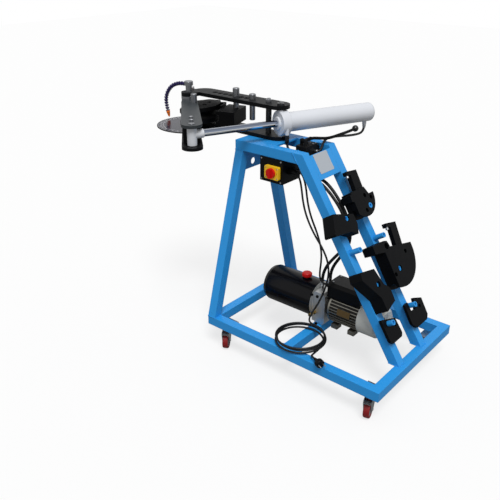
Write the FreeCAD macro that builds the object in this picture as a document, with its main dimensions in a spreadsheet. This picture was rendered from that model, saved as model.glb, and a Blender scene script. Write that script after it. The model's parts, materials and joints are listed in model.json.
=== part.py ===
import FreeCAD
import Part
import Sketcher
import math
import os
import re

# Electric hydraulic tube bender on a wheeled stand, in millimetres, +Z up.
# X runs from the bending head to the rack of spare formers and Y from front to back.
# The floor is Z = 0 and the origin is at the middle of the footprint.

Vector = FreeCAD.Vector

# Driving sizes: name, value, what it measures
SIZES = (
    ("base_length", 850, "base frame along X"),
    ("base_width", 606, "base frame along Y"),
    ("tube_side", 40, "side of the square stand tube"),
    ("rail_top", 150, "floor to the top of the base rails"),
    ("middle_rail_x", 388, "base end to the cross rail under the pump"),
    ("head_rise", 751, "base rails to the top of the stand"),
    ("top_length", 337, "top frame along X"),
    ("top_width", 220, "top frame along Y"),
    ("top_inset", 193, "front of the base to the front of the top frame"),
    ("rack_foot", 830, "base end to the foot of the sloping rack legs"),
    ("deck_end", 180, "base end to the edge of the deck plate"),
    ("deck_thickness", 8, "deck plate under the head"),
    ("panel_thickness", 4, "welded sheet panels"),
    ("left_panel_drop", 143, "stand top to the bottom of the left panel"),
    ("panel_hole_radius", 14, "round hole in the left panel"),
    ("rack_panel_low", 782, "bottom of the rack panel, up the slope"),
    ("rack_panel_high", 886, "top of the rack panel, up the slope"),
    ("peg_radius", 11, "outside radius of a rack peg"),
    ("peg_bore", 6.5, "inside radius of a rack peg"),
    ("peg_length", 50, "rack peg beyond the leg"),
    ("peg_first", 175, "lowest pegs, up the slope"),
    ("peg_second", 333, "second pegs, up the slope"),
    ("peg_third", 481, "third pegs, up the slope"),
    ("peg_fourth", 611, "highest pegs, up the slope"),
    ("peg_fit", 1, "radial play of a former on its peg"),
    ("arm_bar", 20, "hook arm of a spare half-round die"),
    ("hanger_depth", 13, "small hangers on the lowest pegs"),
    ("rack_gap", 0.3, "leg face to a former that hangs on it"),
    ("caster_inset", 60, "base corner to a caster's swivel axis, both ways"),
    ("caster_height", 110, "floor to the underside of the base"),
    ("caster_plate", 70, "side of a caster's top plate"),
    ("caster_plate_thickness", 4, "caster top plate"),
    ("king_pin", 6, "radius of a caster's king pin"),
    ("caster_trail", 28, "swivel axis to wheel axle"),
    ("wheel_radius", 37.5, "caster wheel"),
    ("wheel_width", 24, "caster wheel tread"),
    ("axle_radius", 4, "caster axle"),
    ("cheek_thickness", 3, "sides of a caster fork"),
    ("cheek_gap", 1.5, "wheel to fork side"),
    ("running_fit", 0.05, "radial play of a turning fit"),
    ("pin_overhang", 320, "main pin beyond the head end of the base"),
    ("pin_inset", 254, "front of the base to the main pin"),
    ("arm_length", 437, "main pin to the rod pin"),
    ("arm_angle", -44.07, "direction of the swing arm from the main pin"),
    ("trunnion_x", 146.8, "base end to the cylinder's pivot"),
    ("trunnion_inset", 303.4, "front of the base to the cylinder's pivot"),
    ("plate_thickness", 16, "head plates"),
    ("plate_gap", 110, "between the head plates"),
    ("plate_front", 275, "front of the base to the plates' straight front edge"),
    ("plate_depth", 92, "straight part of the plates along Y"),
    ("plate_end_x", 168, "base end to the rounded end of the plates"),
    ("nose_radius", 34, "plate nose round the main pin"),
    ("shoulder_radius", 60, "far corner of the plates"),
    ("hole_row_inset", 318, "front of the base to the row of pin holes"),
    ("hole_pitch", 30, "between pin holes"),
    ("hole_count", 8, "pin holes in each plate"),
    ("last_hole_x", -13.5, "base end to the last pin hole"),
    ("pin_hole", 12.3, "radius of a pin hole"),
    ("pin_play", 0.3, "radial play of a removable pin"),
    ("post_x", 72, "base end to the spacer post"),
    ("post_radius", 12, "spacer post between the plates"),
    ("main_pin_radius", 14, "main pin"),
    ("main_cap_radius", 19, "cap of the main pin"),
    ("main_cap_rise", 46, "main pin above the top plate"),
    ("collar_radius", 34, "collar between the arm and the top plate"),
    ("arm_thickness", 12, "swing arm plates"),
    ("arm_near_radius", 33, "arm end round the main pin"),
    ("arm_far_radius", 41, "arm end round the rod pin"),
    ("upper_end_shift", -10, "rod pin to the centre of the upper arm's end"),
    ("lower_end_shift", 3, "rod pin to the centre of the lower arm's end"),
    ("web_back", 64.5, "rod pin to the middle of the web that joins the arms"),
    ("web_thickness", 57, "web between the arms, along the arm"),
    ("web_bolt_far", 38, "rod pin to the farther web bolt"),
    ("web_bolt_near", 86, "rod pin to the nearer web bolt"),
    ("web_width", 66, "web between the arms, across the arm"),
    ("lower_arm_lift", 16.5, "stand top to the underside of the lower arm"),
    ("upper_arm_lift", 100, "stand top to the underside of the upper arm"),
    ("eye_pin_radius", 8.5, "rod pin"),
    ("eye_bore", 15, "bore of the rod eye"),
    ("eye_radius", 19, "outside of the rod eye"),
    ("eye_low", 30, "stand top to the bottom of the rod eye"),
    ("eye_high", 98.5, "stand top to the top of the rod eye"),
    ("rod_radius", 14, "piston rod"),
    ("rod_socket", 17.5, "socket of the rod eye"),
    ("cylinder_lift", 71, "stand top to the cylinder's axis"),
    ("barrel_radius", 39.5, "cylinder barrel"),
    ("barrel_wall", 7, "wall of the barrel"),
    ("barrel_length", 445, "cylinder pivot to the rear end"),
    ("barrel_round", 16, "rounding of the barrel's rear end"),
    ("head_radius", 51, "round flange of the cylinder head"),
    ("head_front", 12, "cylinder pivot to the front of its head"),
    ("head_rear", 27, "cylinder pivot to the rear of its head"),
    ("gland_radius", 27, "ring round the rod on the cylinder head"),
    ("trunnion_radius", 10, "cylinder pivot pins"),
    ("front_port_side", 41, "cylinder axis to the front port"),
    ("stroke_left", 25, "travel still to come in this pose"),
    ("piston_length", 30, "piston"),
    ("tube_radius", 16, "radius of the tube that is bent"),
    ("groove_play", 0.3, "groove wider than the tube"),
    ("die_radius", 138, "bending die to its rim"),
    ("die_low", 30, "stand top to the bottom of the die"),
    ("die_height", 68, "bending die"),
    ("die_start", -60, "first end of the die's rim, in degrees"),
    ("die_end", 55, "last end of the die's rim, in degrees"),
    ("die_hub", 36, "hub of the die round the main pin"),
    ("die_link_circle", 88, "main pin to the link holes"),
    ("die_link_angle", -32, "direction of the link pin, in degrees"),
    ("die_link_step", 34, "between link holes, in degrees"),
    ("link_pin_radius", 9.5, "link pin"),
    ("hook_angle", 36, "root of the tube hook, in degrees"),
    ("hook_tip", 12, "tip of the tube hook, in degrees"),
    ("hook_thickness", 8, "tube hook"),
    ("hook_height", 36, "tube hook, down from the top of the die"),
    ("hook_play", 0.5, "tube to the hook"),
    ("nose_flare", 15, "lean of the plates' end, in degrees"),
    ("nose_return", 17, "side of the nose towards the arm, in degrees"),
    ("nose_corner_x", -278, "base end to the inner corner beside the nose"),
    ("follow_turn", 198, "direction in which the follow block faces"),
    ("follow_front", 57, "follow pin to the grooved face"),
    ("follow_back", 25.4, "follow pin to the back face"),
    ("follow_near", 88, "follow pin to the near end of the block"),
    ("follow_far", 54, "follow pin to the far end of the block"),
    ("follow_low", 33, "stand top to the bottom of the follow block"),
    ("follow_height", 59, "follow block"),
    ("pointer_base_height", 16, "block under the pointer"),
    ("disc_radius", 147, "degree disc"),
    ("disc_thickness", 4, "degree disc"),
    ("left_reach", 492.5, "base end to the farthest point, on the pointer's links"),
    ("disc_drop", 5, "stand top to the underside of the degree disc"),
    ("box_x", 134, "base end to the control box"),
    ("box_length", 113, "control box along X"),
    ("box_depth", 117, "control box along Y"),
    ("box_height", 101, "control box"),
    ("box_wall", 3, "wall of the control box"),
    ("switch_x", 202, "base end to the centre of the switch"),
    ("switch_drop", 96, "stand top to the centre of the switch"),
    ("switch_width", 70, "yellow switch plate"),
    ("switch_height", 54, "yellow switch plate"),
    ("switch_depth", 14, "yellow switch plate"),
    ("knob_radius", 20.5, "red switch knob"),
    ("knob_depth", 18, "red switch knob"),
    ("pump_axis_inset", 303, "front of the base to the pump's axis"),
    ("pump_axis_rise", 93, "base rails to the pump's axis"),
    ("tank_x", 120, "base end to the oil tank"),
    ("tank_radius", 81, "oil tank"),
    ("tank_wall", 3, "wall of the oil tank"),
    ("tank_round", 22, "rounding of the tank's closed end"),
    ("cap_x", 308, "base end to the filler cap"),
    ("cap_radius", 21, "filler cap"),
    ("cap_height", 17, "filler cap"),
    ("manifold_x", 378, "base end to the valve manifold"),
    ("manifold_length", 62, "manifold along X"),
    ("manifold_depth", 110, "manifold along Y"),
    ("manifold_rise", 12, "base rails to the underside of the manifold"),
    ("manifold_height", 143, "manifold"),
    ("motor_x", 470, "base end to the finned motor case"),
    ("motor_length", 140, "finned motor case"),
    ("motor_radius", 61, "motor case under its fins"),
    ("fin_height", 8, "motor fins"),
    ("fin_thickness", 3.2, "motor fins"),
    ("fin_count", 32, "motor fins, with room for the feet and the box"),
    ("cowl_length", 92, "fan cowl"),
    ("cowl_radius", 71.2, "fan cowl at the motor, over its end ring"),
    ("cowl_end_radius", 52, "flat end of the fan cowl"),
    ("cowl_wall", 2, "wall of the fan cowl"),
    ("rotor_radius", 38, "motor rotor"),
    ("shaft_radius", 9, "motor shaft"),
    ("terminal_x", 447, "base end to the terminal box"),
    ("terminal_length", 155, "terminal box along X"),
    ("terminal_depth", 100, "terminal box along Y"),
    ("terminal_low", 150, "base rails to the underside of the terminal box"),
    ("terminal_high", 215, "base rails to the top of the terminal box"),
    ("valve_x", 252, "base end to the control valve"),
    ("valve_length", 48, "control valve along X"),
    ("valve_inset", 268, "front of the base to the control valve"),
    ("valve_depth", 84, "control valve along Y"),
    ("valve_low", 70, "stand top down to the underside of the valve"),
    ("valve_high", 6, "stand top up to the top of the valve"),
    ("lever_pivot_inset", 286, "front of the base to the lever's pivot"),
    ("lever_lift", 24, "stand top to the valve lever"),
    ("lever_reach", 292, "lever pivot to the ball"),
    ("lever_offset", 56, "lever pivot to the ball along X"),
    ("lever_radius", 6, "valve lever"),
    ("ball_radius", 13.5, "ball on the valve lever"),
    ("spool_arm", 40, "lever pivot to the spool"),
    ("spool_radius", 8, "valve spool"),
    ("hose_radius", 6.5, "hydraulic hose"),
    ("cylinder_hose_radius", 5, "hoses of the cylinder"),
    ("cable_radius", 4, "electric cable"),
    ("cord_radius", 4, "supply cord"),
    ("plug_radius", 18, "plug body"),
)

doc = FreeCAD.newDocument("tube_bender")
sheet = doc.addObject("Spreadsheet::Sheet", "sizes")
for row, (alias, number, note) in enumerate(SIZES, start=1):
    sheet.set("A%d" % row, alias)
    sheet.set("B%d" % row, str(number))
    sheet.set("C%d" % row, note)
    sheet.setAlias("B%d" % row, alias)
doc.recompute()

# Places worked out from the driving sizes, written as formulas of the sheet
DERIVED = {
    "eye_inset": "pin_inset + arm_length * sin(arm_angle)",
    "reach_x": "trunnion_x + pin_overhang - arm_length * cos(arm_angle)",
    "reach_y": "trunnion_inset - eye_inset",
    "rod_reach": "sqrt(reach_x * reach_x + reach_y * reach_y)",
    "rod_angle": "(atan2(reach_y; reach_x) / 1 deg)",
    "front_extent": "eye_inset + lower_end_shift * sin(arm_angle) - arm_far_radius",
    "rear_extent": "trunnion_inset + (barrel_length - barrel_round) * sin(rod_angle)"
                   " + (barrel_radius - barrel_round) * cos(rod_angle) + barrel_round",
    "stand_x": "(left_reach - base_length) / 2",
    "front_y": "(0 - front_extent - rear_extent) / 2",
    "deck": "rail_top + head_rise",
    "pin_x": "stand_x - pin_overhang",
    "pin_y": "front_y + pin_inset",
    "eye_x": "pin_x + arm_length * cos(arm_angle)",
    "eye_y": "front_y + eye_inset",
    "pivot_x": "stand_x + trunnion_x",
    "pivot_y": "front_y + trunnion_inset",
    "cylinder_z": "deck + cylinder_lift",
    "top_plate_z": "deck + plate_thickness + plate_gap",
    "top_plate_top": "deck + plate_thickness * 2 + plate_gap",
    "hole_y": "front_y + hole_row_inset",
    "follow_pin_x": "stand_x + last_hole_x - 3 * hole_pitch",
    "spare_pin_x": "stand_x + last_hole_x",
    "leg_lean": "(atan2(top_inset; head_rise - tube_side) / 1 deg)",
    "rack_lean": "(atan2(rack_foot - top_length; head_rise) / 1 deg)",
    "pump_y": "front_y + pump_axis_inset",
    "pump_z": "rail_top + pump_axis_rise",
    "front_peg_y": "top_inset + tube_side / 2",
    "back_peg_y": "top_inset + top_width - tube_side / 2",
    "die_groove_z": "die_low + die_height / 2",
    "cylinder_open": "barrel_length - barrel_wall",
}

WORDS = {alias for alias, number, note in SIZES}


def formula(text):
    """Turn the size names in a text into references to cells of the sheet."""
    def reference(match):
        word = match.group(0)
        if word in DERIVED:
            return "(" + formula(DERIVED[word]) + ")"
        if word in WORDS:
            return "sizes." + word
        return word
    return re.sub(r"[a-z][a-z_]+", reference, text)


def size(text):
    """The present value of a formula."""
    return float(sheet.evalExpression(formula(str(text))))


def bind(thing, **properties):
    """Bind properties of an object to formulas of the sheet."""
    for name, text in properties.items():
        thing.setExpression(name, formula(str(text)))
    return thing


def place(thing, x=0, y=0, z=0, yaw=0, pitch=0, roll=0):
    """Bind the place of an object, turned by roll, then pitch, then yaw."""
    text = "placement(vector(%s; %s; %s); rotation(%s; %s; %s))" % (x, y, z, yaw, pitch, roll)
    return bind(thing, Placement=text)


def box(name, x, y, z, length, width, height, **turn):
    thing = doc.addObject("Part::Box", name)
    bind(thing, Length=length, Width=width, Height=height)
    return place(thing, x, y, z, **turn)


def cylinder(name, x, y, z, radius, height, **turn):
    thing = doc.addObject("Part::Cylinder", name)
    bind(thing, Radius=radius, Height=height)
    return place(thing, x, y, z, **turn)


def torus(name, x, y, z, radius, section):
    thing = doc.addObject("Part::Torus", name)
    bind(thing, Radius1=radius, Radius2=section)
    return place(thing, x, y, z)


def sphere(name, x, y, z, radius):
    thing = doc.addObject("Part::Sphere", name)
    bind(thing, Radius=radius)
    return place(thing, x, y, z)


def fuse(name, *pieces):
    thing = doc.addObject("Part::MultiFuse", name)
    thing.Shapes = list(pieces)
    return thing


def cut(name, base, *tools):
    thing = doc.addObject("Part::Cut", name)
    thing.Base = base
    thing.Tool = tools[0] if len(tools) == 1 else fuse(name + "_tools", *tools)
    return thing


def common(name, first, second):
    thing = doc.addObject("Part::Common", name)
    thing.Base = first
    thing.Tool = second
    return thing


def group(name, *pieces):
    thing = doc.addObject("Part::Compound", name)
    thing.Links = list(pieces)
    return thing


def solid(name, shape):
    """An object whose shape is worked out here from the sheet's values."""
    thing = doc.addObject("Part::Feature", name)
    thing.Shape = shape
    return thing


def new_body(name, x=0, y=0, z=0, **turn):
    return place(doc.addObject("PartDesign::Body", name), x, y, z, **turn)


def new_sketch(body, plane="XY_Plane", lift=None):
    """A sketch on one of the body's own origin planes, lifted along its normal."""
    sketch = body.newObject("Sketcher::SketchObject", body.Name + "_sketch")
    origin_plane = next(item for item in body.Origin.OriginFeatures if item.Role == plane)
    sketch.AttachmentSupport = [(origin_plane, "")]
    sketch.MapMode = "FlatFace"
    if lift is not None:
        bind(sketch, **{"AttachmentOffset.Base.z": lift})
    return sketch


def pin_point(sketch, geometry, point, x, y):
    """Hold a point of a sketch at two formulas."""
    for kind, text in (("DistanceX", x), ("DistanceY", y)):
        constraint = Sketcher.Constraint(kind, -1, 1, geometry, point, size(text))
        number = sketch.addConstraint(constraint)
        sketch.setExpression("Constraints[%d]" % number, formula(str(text)))


def draw_polygon(sketch, points):
    """A closed outline of straight lines whose corners are formulas."""
    corners = [Vector(size(x), size(y), 0) for x, y in points]
    lines = []
    for start, end in zip(corners, corners[1:] + corners[:1]):
        lines.append(sketch.addGeometry(Part.LineSegment(start, end)))
    for line, following in zip(lines, lines[1:] + lines[:1]):
        sketch.addConstraint(Sketcher.Constraint("Coincident", line, 2, following, 1))
    for line, (x, y) in zip(lines, points):
        pin_point(sketch, line, 1, x, y)


def draw_rectangle(sketch, left, low, right, high):
    draw_polygon(sketch, [(left, low), (right, low), (right, high), (left, high)])


def draw_circle(sketch, x, y, radius):
    circle = Part.Circle(Vector(size(x), size(y), 0), Vector(0, 0, 1), size(radius))
    geometry = sketch.addGeometry(circle)
    pin_point(sketch, geometry, 3, x, y)
    number = sketch.addConstraint(Sketcher.Constraint("Radius", geometry, size(radius)))
    sketch.setExpression("Constraints[%d]" % number, formula(str(radius)))


def draw_link(sketch, near_radius, far_radius, near_x, far_x):
    """Two round ends on the X axis, joined by their outer tangents."""
    near, far = Vector(size(near_x), 0, 0), Vector(size(far_x), 0, 0)
    near_r, far_r = size(near_radius), size(far_radius)
    lean = math.asin((far_r - near_r) / (far - near).Length)
    low, high = -math.pi / 2 - lean, math.pi / 2 + lean
    far_end = sketch.addGeometry(
        Part.ArcOfCircle(Part.Circle(far, Vector(0, 0, 1), far_r), low, high))
    near_end = sketch.addGeometry(
        Part.ArcOfCircle(Part.Circle(near, Vector(0, 0, 1), near_r), high, low + 2 * math.pi))
    sides = []
    for angle in (high, low):
        away = Vector(math.cos(angle), math.sin(angle), 0)
        start, end = far + away * far_r, near + away * near_r
        if angle == low:
            start, end = end, start
        sides.append(sketch.addGeometry(Part.LineSegment(start, end)))
    sketch.addConstraint([
        Sketcher.Constraint("Tangent", far_end, 2, sides[0], 1),
        Sketcher.Constraint("Tangent", sides[0], 2, near_end, 1),
        Sketcher.Constraint("Tangent", near_end, 2, sides[1], 1),
        Sketcher.Constraint("Tangent", sides[1], 2, far_end, 1),
    ])
    for geometry, radius, x in ((near_end, near_radius, near_x), (far_end, far_radius, far_x)):
        pin_point(sketch, geometry, 3, x, 0)
        number = sketch.addConstraint(Sketcher.Constraint("Radius", geometry, size(radius)))
        sketch.setExpression("Constraints[%d]" % number, formula(str(radius)))


def pad(body, sketch, length, backwards=False, centred=False):
    feature = body.newObject("PartDesign::Pad", body.Name + "_pad")
    feature.Profile = sketch
    bind(feature, Length=length)
    feature.Reversed = backwards
    feature.Midplane = centred
    sketch.Visibility = False
    return feature


def pocket(body, sketch, length=None, centred=False):
    """Cut a sketch into the body, right through where no depth is given."""
    feature = body.newObject("PartDesign::Pocket", body.Name + "_pocket")
    feature.Profile = sketch
    if length is None:
        feature.Type = 1
        feature.Midplane = True
    else:
        bind(feature, Length=length)
        feature.Midplane = centred
    return feature


def turned(name, points, upright=True, **where):
    """A piece turned on a lathe: radius and height, or length and radius."""
    body = new_body(name, **where)
    sketch = new_sketch(body, "XZ_Plane" if upright else "XY_Plane")
    draw_polygon(sketch, points)
    feature = body.newObject("PartDesign::Revolution", name + "_turn")
    feature.Profile = sketch
    feature.ReferenceAxis = (sketch, ["V_Axis" if upright else "H_Axis"])
    feature.Angle = 360
    return body


def prism(name, points, length, plane="XY_Plane", centred=False, backwards=False, **where):
    """A straight piece of one polygonal section."""
    body = new_body(name, **where)
    sketch = new_sketch(body, plane)
    draw_polygon(sketch, points)
    pad(body, sketch, length, backwards, centred)
    return body


def round_edges(body, radius, wanted):
    """Fillet the edges of the body's last feature that a test picks."""
    doc.recompute()
    base = body.Tip
    names = ["Edge%d" % (number + 1)
             for number, edge in enumerate(base.Shape.Edges) if wanted(edge)]
    fillet = body.newObject("PartDesign::Fillet", body.Name + "_round")
    fillet.Base = (base, names)
    bind(fillet, Radius=radius)
    return fillet


def upright_at(*corners):
    """Picks upright edges at given corners, each a pair of formulas."""
    spots = [(size(x), size(y)) for x, y in corners]

    def wanted(edge):
        first, last = edge.Vertexes[0].Point, edge.Vertexes[-1].Point
        if abs(first.z - last.z) < 1:
            return False
        return any(math.hypot(first.x - x, first.y - y) < 0.01 for x, y in spots)
    return wanted


def rim_at(axis, along, radius):
    """Picks a circular edge round an axis by its place along it and its radius."""
    def wanted(edge):
        if not isinstance(edge.Curve, Part.Circle):
            return False
        centre = getattr(edge.Curve.Center, axis)
        return abs(centre - size(along)) < 0.01 and abs(edge.Curve.Radius - size(radius)) < 0.01
    return wanted


def stand_point(x, y, z):
    """A point given from the head end, the front and the rails of the base."""
    return Vector(size("stand_x") + x, size("front_y") + y, size("rail_top") + z)


def rounded_path(points):
    """Straight runs joined by tangent arcs, each as large as its runs allow."""
    edges = []
    radii = []
    last = points[0]
    for before, corner, after in zip(points, points[1:], points[2:]):
        into, out = corner - before, after - corner
        shorter = min(into.Length, out.Length)
        turn = into.getAngle(out)
        back = 0.45 * shorter
        radii.append(back / math.tan(turn / 2))
        into.normalize()
        out.normalize()
        start, end = corner - into * back, corner + out * back
        middle_way = out - into
        middle_way.normalize()
        depth = radii[-1] / math.cos(turn / 2) - radii[-1]
        edges.append(Part.LineSegment(last, start).toShape())
        edges.append(Part.Arc(start, corner + middle_way * depth, end).toShape())
        last = end
    edges.append(Part.LineSegment(last, points[-1]).toShape())
    return Part.Wire(edges), radii


def tube_along(name, points, radius):
    """A round tube along a rounded route, checked against section times length."""
    path, radii = rounded_path(points)
    start = points[1] - points[0]
    ring = Part.Wire(Part.makeCircle(radius, points[0], start))
    shape = path.makePipeShell([ring], True, True)
    expected = math.pi * radius ** 2 * path.Length
    print("%s: %.0f mm long, least radius %.0f mm, volume ratio %.4f"
          % (name, path.Length, min(radii), shape.Volume / expected))
    return shape


nodes = {}


def node(name, thing):
    """Name a finished sub-part; its label is its file's name."""
    thing.Label = name
    nodes[name] = thing
    return thing


# Stand: base frame, legs, top frame and welded sheet panels

def make_base_frame():
    body = new_body("base_frame_body", "stand_x", "front_y", "rail_top - tube_side")
    sketch = new_sketch(body)
    draw_rectangle(sketch, 0, 0, "base_length", "base_width")
    draw_rectangle(sketch, "tube_side", "tube_side", "middle_rail_x", "base_width - tube_side")
    draw_rectangle(sketch, "middle_rail_x + tube_side", "tube_side",
                   "base_length - tube_side", "base_width - tube_side")
    pad(body, sketch, "tube_side")
    node("base_frame", body)


def make_left_legs():
    legs = []
    foot = "tube_side / cos(leg_lean)"
    for name, mirror in (("left_front_leg", False), ("left_back_leg", True)):
        points = [("0", "0"), (foot, "0"),
                  ("top_inset + tube_side", "head_rise - tube_side"),
                  ("top_inset", "head_rise - tube_side")]
        if mirror:
            points = [("base_width - (%s)" % y, z) for y, z in points]
        legs.append(prism(name, points, "tube_side", "YZ_Plane",
                          x="stand_x", y="front_y", z="rail_top"))
    node("left_legs", group("left_legs_group", *legs))


def rack_place(thing, across=0, slope=0, out=0):
    """Place a piece on the rack: its X runs along Y, its Y up the slope, its Z out."""
    return place(
        thing,
        "stand_x + rack_foot - sin(rack_lean) * (%s) + cos(rack_lean) * (%s)" % (slope, out),
        "front_y + %s" % across,
        "rail_top + cos(rack_lean) * (%s) + sin(rack_lean) * (%s)" % (slope, out),
        yaw=90, pitch=0, roll="90 - rack_lean")


def make_right_legs():
    legs = []
    foot = "tube_side / cos(rack_lean)"
    points = [("rack_foot - %s" % foot, "0"), ("rack_foot", "0"),
              ("top_length", "head_rise"), ("top_length - %s" % foot, "head_rise")]
    for side, inset in (("front", "top_inset"), ("back", "top_inset + top_width - tube_side")):
        leg = prism("right_%s_leg" % side, points, "tube_side", "XZ_Plane",
                    x="stand_x", y="front_y + %s + tube_side" % inset, z="rail_top")
        pegs = []
        bores = []
        for number, slope in enumerate(("peg_first", "peg_second", "peg_third", "peg_fourth")):
            across = "%s + tube_side / 2" % inset
            peg = cylinder("%s_peg_%d" % (side, number), 0, 0, 0, "peg_radius", "peg_length + 2")
            rack_place(peg, across, slope, "-2")
            bore = cylinder("%s_peg_bore_%d" % (side, number), 0, 0, 0, "peg_bore", "peg_length")
            rack_place(bore, across, slope, "1")
            pegs.append(peg)
            bores.append(bore)
        welded = fuse("right_%s_welded" % side, leg, *pegs)
        legs.append(cut("right_%s_leg_pegs" % side, welded, *bores))
    node("right_legs", group("right_legs_group", *legs))


def make_top_frame():
    foot = "tube_side / cos(rack_lean)"
    slant = "tube_side * sin(rack_lean) / cos(rack_lean)"
    points = [("0", "0"), ("top_length - %s + %s" % (foot, slant), "0"),
              ("top_length - %s" % foot, "tube_side"), ("0", "tube_side")]
    rails = []
    for side, inset in (("front", "top_inset"), ("back", "top_inset + top_width - tube_side")):
        rails.append(prism("top_%s_rail" % side, points, "tube_side", "XZ_Plane", x="stand_x",
                           y="front_y + %s + tube_side" % inset, z="deck - tube_side"))
    rails.append(box("top_end_rail", "stand_x", "front_y + top_inset + tube_side",
                     "deck - tube_side", "tube_side", "top_width - 2 * tube_side", "tube_side"))
    node("top_frame", fuse("top_frame_welded", *rails))


def make_panels():
    deck_plate = box("deck_plate", "stand_x + tube_side", "front_y + top_inset + tube_side",
                     "deck - deck_thickness", "deck_end - tube_side",
                     "top_width - 2 * tube_side", "deck_thickness")
    inner_slope = "(top_inset + tube_side - tube_side / cos(leg_lean)) / (head_rise - tube_side)"
    edge = "(top_inset + tube_side - (left_panel_drop - tube_side) * %s)" % inner_slope
    low, high = "head_rise - left_panel_drop", "head_rise - tube_side"
    left = new_body("left_panel", "stand_x", "front_y", "rail_top")
    sketch = new_sketch(left, "YZ_Plane")
    draw_polygon(sketch, [(edge, low), ("base_width - %s" % edge, low),
                          ("base_width - top_inset - tube_side", high),
                          ("top_inset + tube_side", high)])
    draw_circle(sketch, "base_width / 2", "%s + 27" % low, "panel_hole_radius")
    pad(left, sketch, "panel_thickness")
    right = new_body("rack_panel")
    rack_place(right)
    sketch = new_sketch(right)
    draw_rectangle(sketch, "top_inset + tube_side", "rack_panel_low",
                   "top_inset + top_width - tube_side", "rack_panel_high")
    pad(right, sketch, "panel_thickness", backwards=True)
    node("frame_panels", group("frame_panels_group", deck_plate, left, right))


# Casters: plate, fork, wheel and, at the front, a brake pedal

CASTERS = (
    ("front_left", "caster_inset", "caster_inset", -60, True),
    ("front_right", "base_length - caster_inset", "caster_inset", -75, True),
    ("back_left", "caster_inset", "base_width - caster_inset", 205, False),
    ("back_right", "base_length - caster_inset", "base_width - caster_inset", 160, False),
)


def make_casters():
    plates = []
    half_tread = "(wheel_width / 2 + cheek_gap)"
    for corner, x, y, turn, braked in CASTERS:
        where = {"x": "stand_x + %s" % x, "y": "front_y + %s" % y}
        plate = box(corner + "_plate", "%s - caster_plate / 2" % where["x"],
                    "%s - caster_plate / 2" % where["y"],
                    "caster_height - caster_plate_thickness",
                    "caster_plate", "caster_plate", "caster_plate_thickness")
        race = turned(corner + "_race", [
            ("0", "-22"), ("king_pin + 3", "-22"), ("king_pin + 3", "-18"), ("king_pin", "-18"),
            ("king_pin", "-6"), ("king_pin + 14", "-6"), ("king_pin + 17", "1"), ("0", "1")],
            z="caster_height - caster_plate_thickness", **where)
        plates.append(fuse(corner + "_top", plate, race))
        crown = turned(corner + "_crown", [
            ("king_pin + running_fit", "-14"), ("king_pin + 17", "-14"),
            ("king_pin + 17", "-11"), ("king_pin + 14", "-6.3"), ("king_pin + running_fit", "-6.3")],
            z="caster_height - caster_plate_thickness", **where)
        cheeks = []
        for side, shift in (("near", "0 - %s" % half_tread),
                            ("far", "%s + cheek_thickness" % half_tread)):
            outline = [("-20", "wheel_radius + 51"), ("-20", "wheel_radius + 54.5"),
                       ("22", "wheel_radius + 54.5"),
                       ("caster_trail + 25", "wheel_radius + 47"),
                       ("caster_trail + 25", "wheel_radius + 33"),
                       ("caster_trail + 10", "wheel_radius - 10"),
                       ("caster_trail - 10", "wheel_radius - 10"),
                       ("-14", "wheel_radius + 34")]
            body = new_body("%s_%s_cheek" % (corner, side), where["x"], where["y"], 0, yaw=turn)
            sketch = new_sketch(body, "XZ_Plane", "0 - (%s)" % shift)
            draw_polygon(sketch, outline)
            pad(body, sketch, "cheek_thickness")
            cheeks.append(body)
        bridge = box(corner + "_bridge", 0, 0, 0, "42", "2 * %s" % half_tread, "3.5")
        local_place(bridge, where, turn, "-20", "0 - %s" % half_tread, "wheel_radius + 51")
        axle = cylinder(corner + "_axle", 0, 0, 0, "axle_radius",
                        "2 * (%s + cheek_thickness + 3)" % half_tread)
        local_place(axle, where, turn, "caster_trail", "%s + cheek_thickness + 3" % half_tread,
                    "wheel_radius", roll=90)
        pivot_pin = cylinder(corner + "_pedal_pin", 0, 0, 0, "2.5",
                             "2 * %s + 2 * cheek_thickness" % half_tread)
        local_place(pivot_pin, where, turn, "caster_trail + 18",
                    "%s + cheek_thickness" % half_tread, "wheel_radius + 41", roll=90)
        pieces = [crown, bridge, axle] + cheeks
        if braked:
            pieces.append(pivot_pin)
        drilled = cut(corner + "_fork_solid", fuse(corner + "_fork_fused", *pieces),
                      cylinder(corner + "_king_bore", where["x"], where["y"],
                               "wheel_radius + 40", "king_pin + running_fit", "30"))
        node(corner + "_fork", drilled)
        wheel = turned(corner + "_wheel_body", [
            ("0 - wheel_width / 2 - 1", "axle_radius + running_fit"),
            ("wheel_width / 2 + 1", "axle_radius + running_fit"),
            ("wheel_width / 2 + 1", "axle_radius + 6"), ("wheel_width / 2 - 3", "axle_radius + 8"),
            ("wheel_width / 2 - 3", "wheel_radius - 9"), ("wheel_width / 2", "wheel_radius - 7"),
            ("wheel_width / 2", "wheel_radius - 2"), ("wheel_width / 2 - 4", "wheel_radius"),
            ("4 - wheel_width / 2", "wheel_radius"), ("0 - wheel_width / 2", "wheel_radius - 2"),
            ("0 - wheel_width / 2", "wheel_radius - 7"), ("3 - wheel_width / 2", "wheel_radius - 9"),
            ("3 - wheel_width / 2", "axle_radius + 8"), ("0 - wheel_width / 2 - 1", "axle_radius + 6")],
            upright=False)
        local_place(wheel, where, turn, "caster_trail", "0", "wheel_radius", yaw=90)
        node(corner + "_wheel", wheel)
        if braked:
            make_pedal(corner, where, turn, half_tread)
    node("caster_plates", group("caster_plates_group", *plates))


def local_place(thing, where, turn, x, y, z, yaw=0, roll=0):
    """Place a piece in the turned frame of a caster."""
    return place(
        thing,
        "%s + (%s) * cos(%s) - (%s) * sin(%s)" % (where["x"], x, turn, y, turn),
        "%s + (%s) * sin(%s) + (%s) * cos(%s)" % (where["y"], x, turn, y, turn),
        z, yaw="%s + %s" % (turn, yaw), roll=roll)


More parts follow.
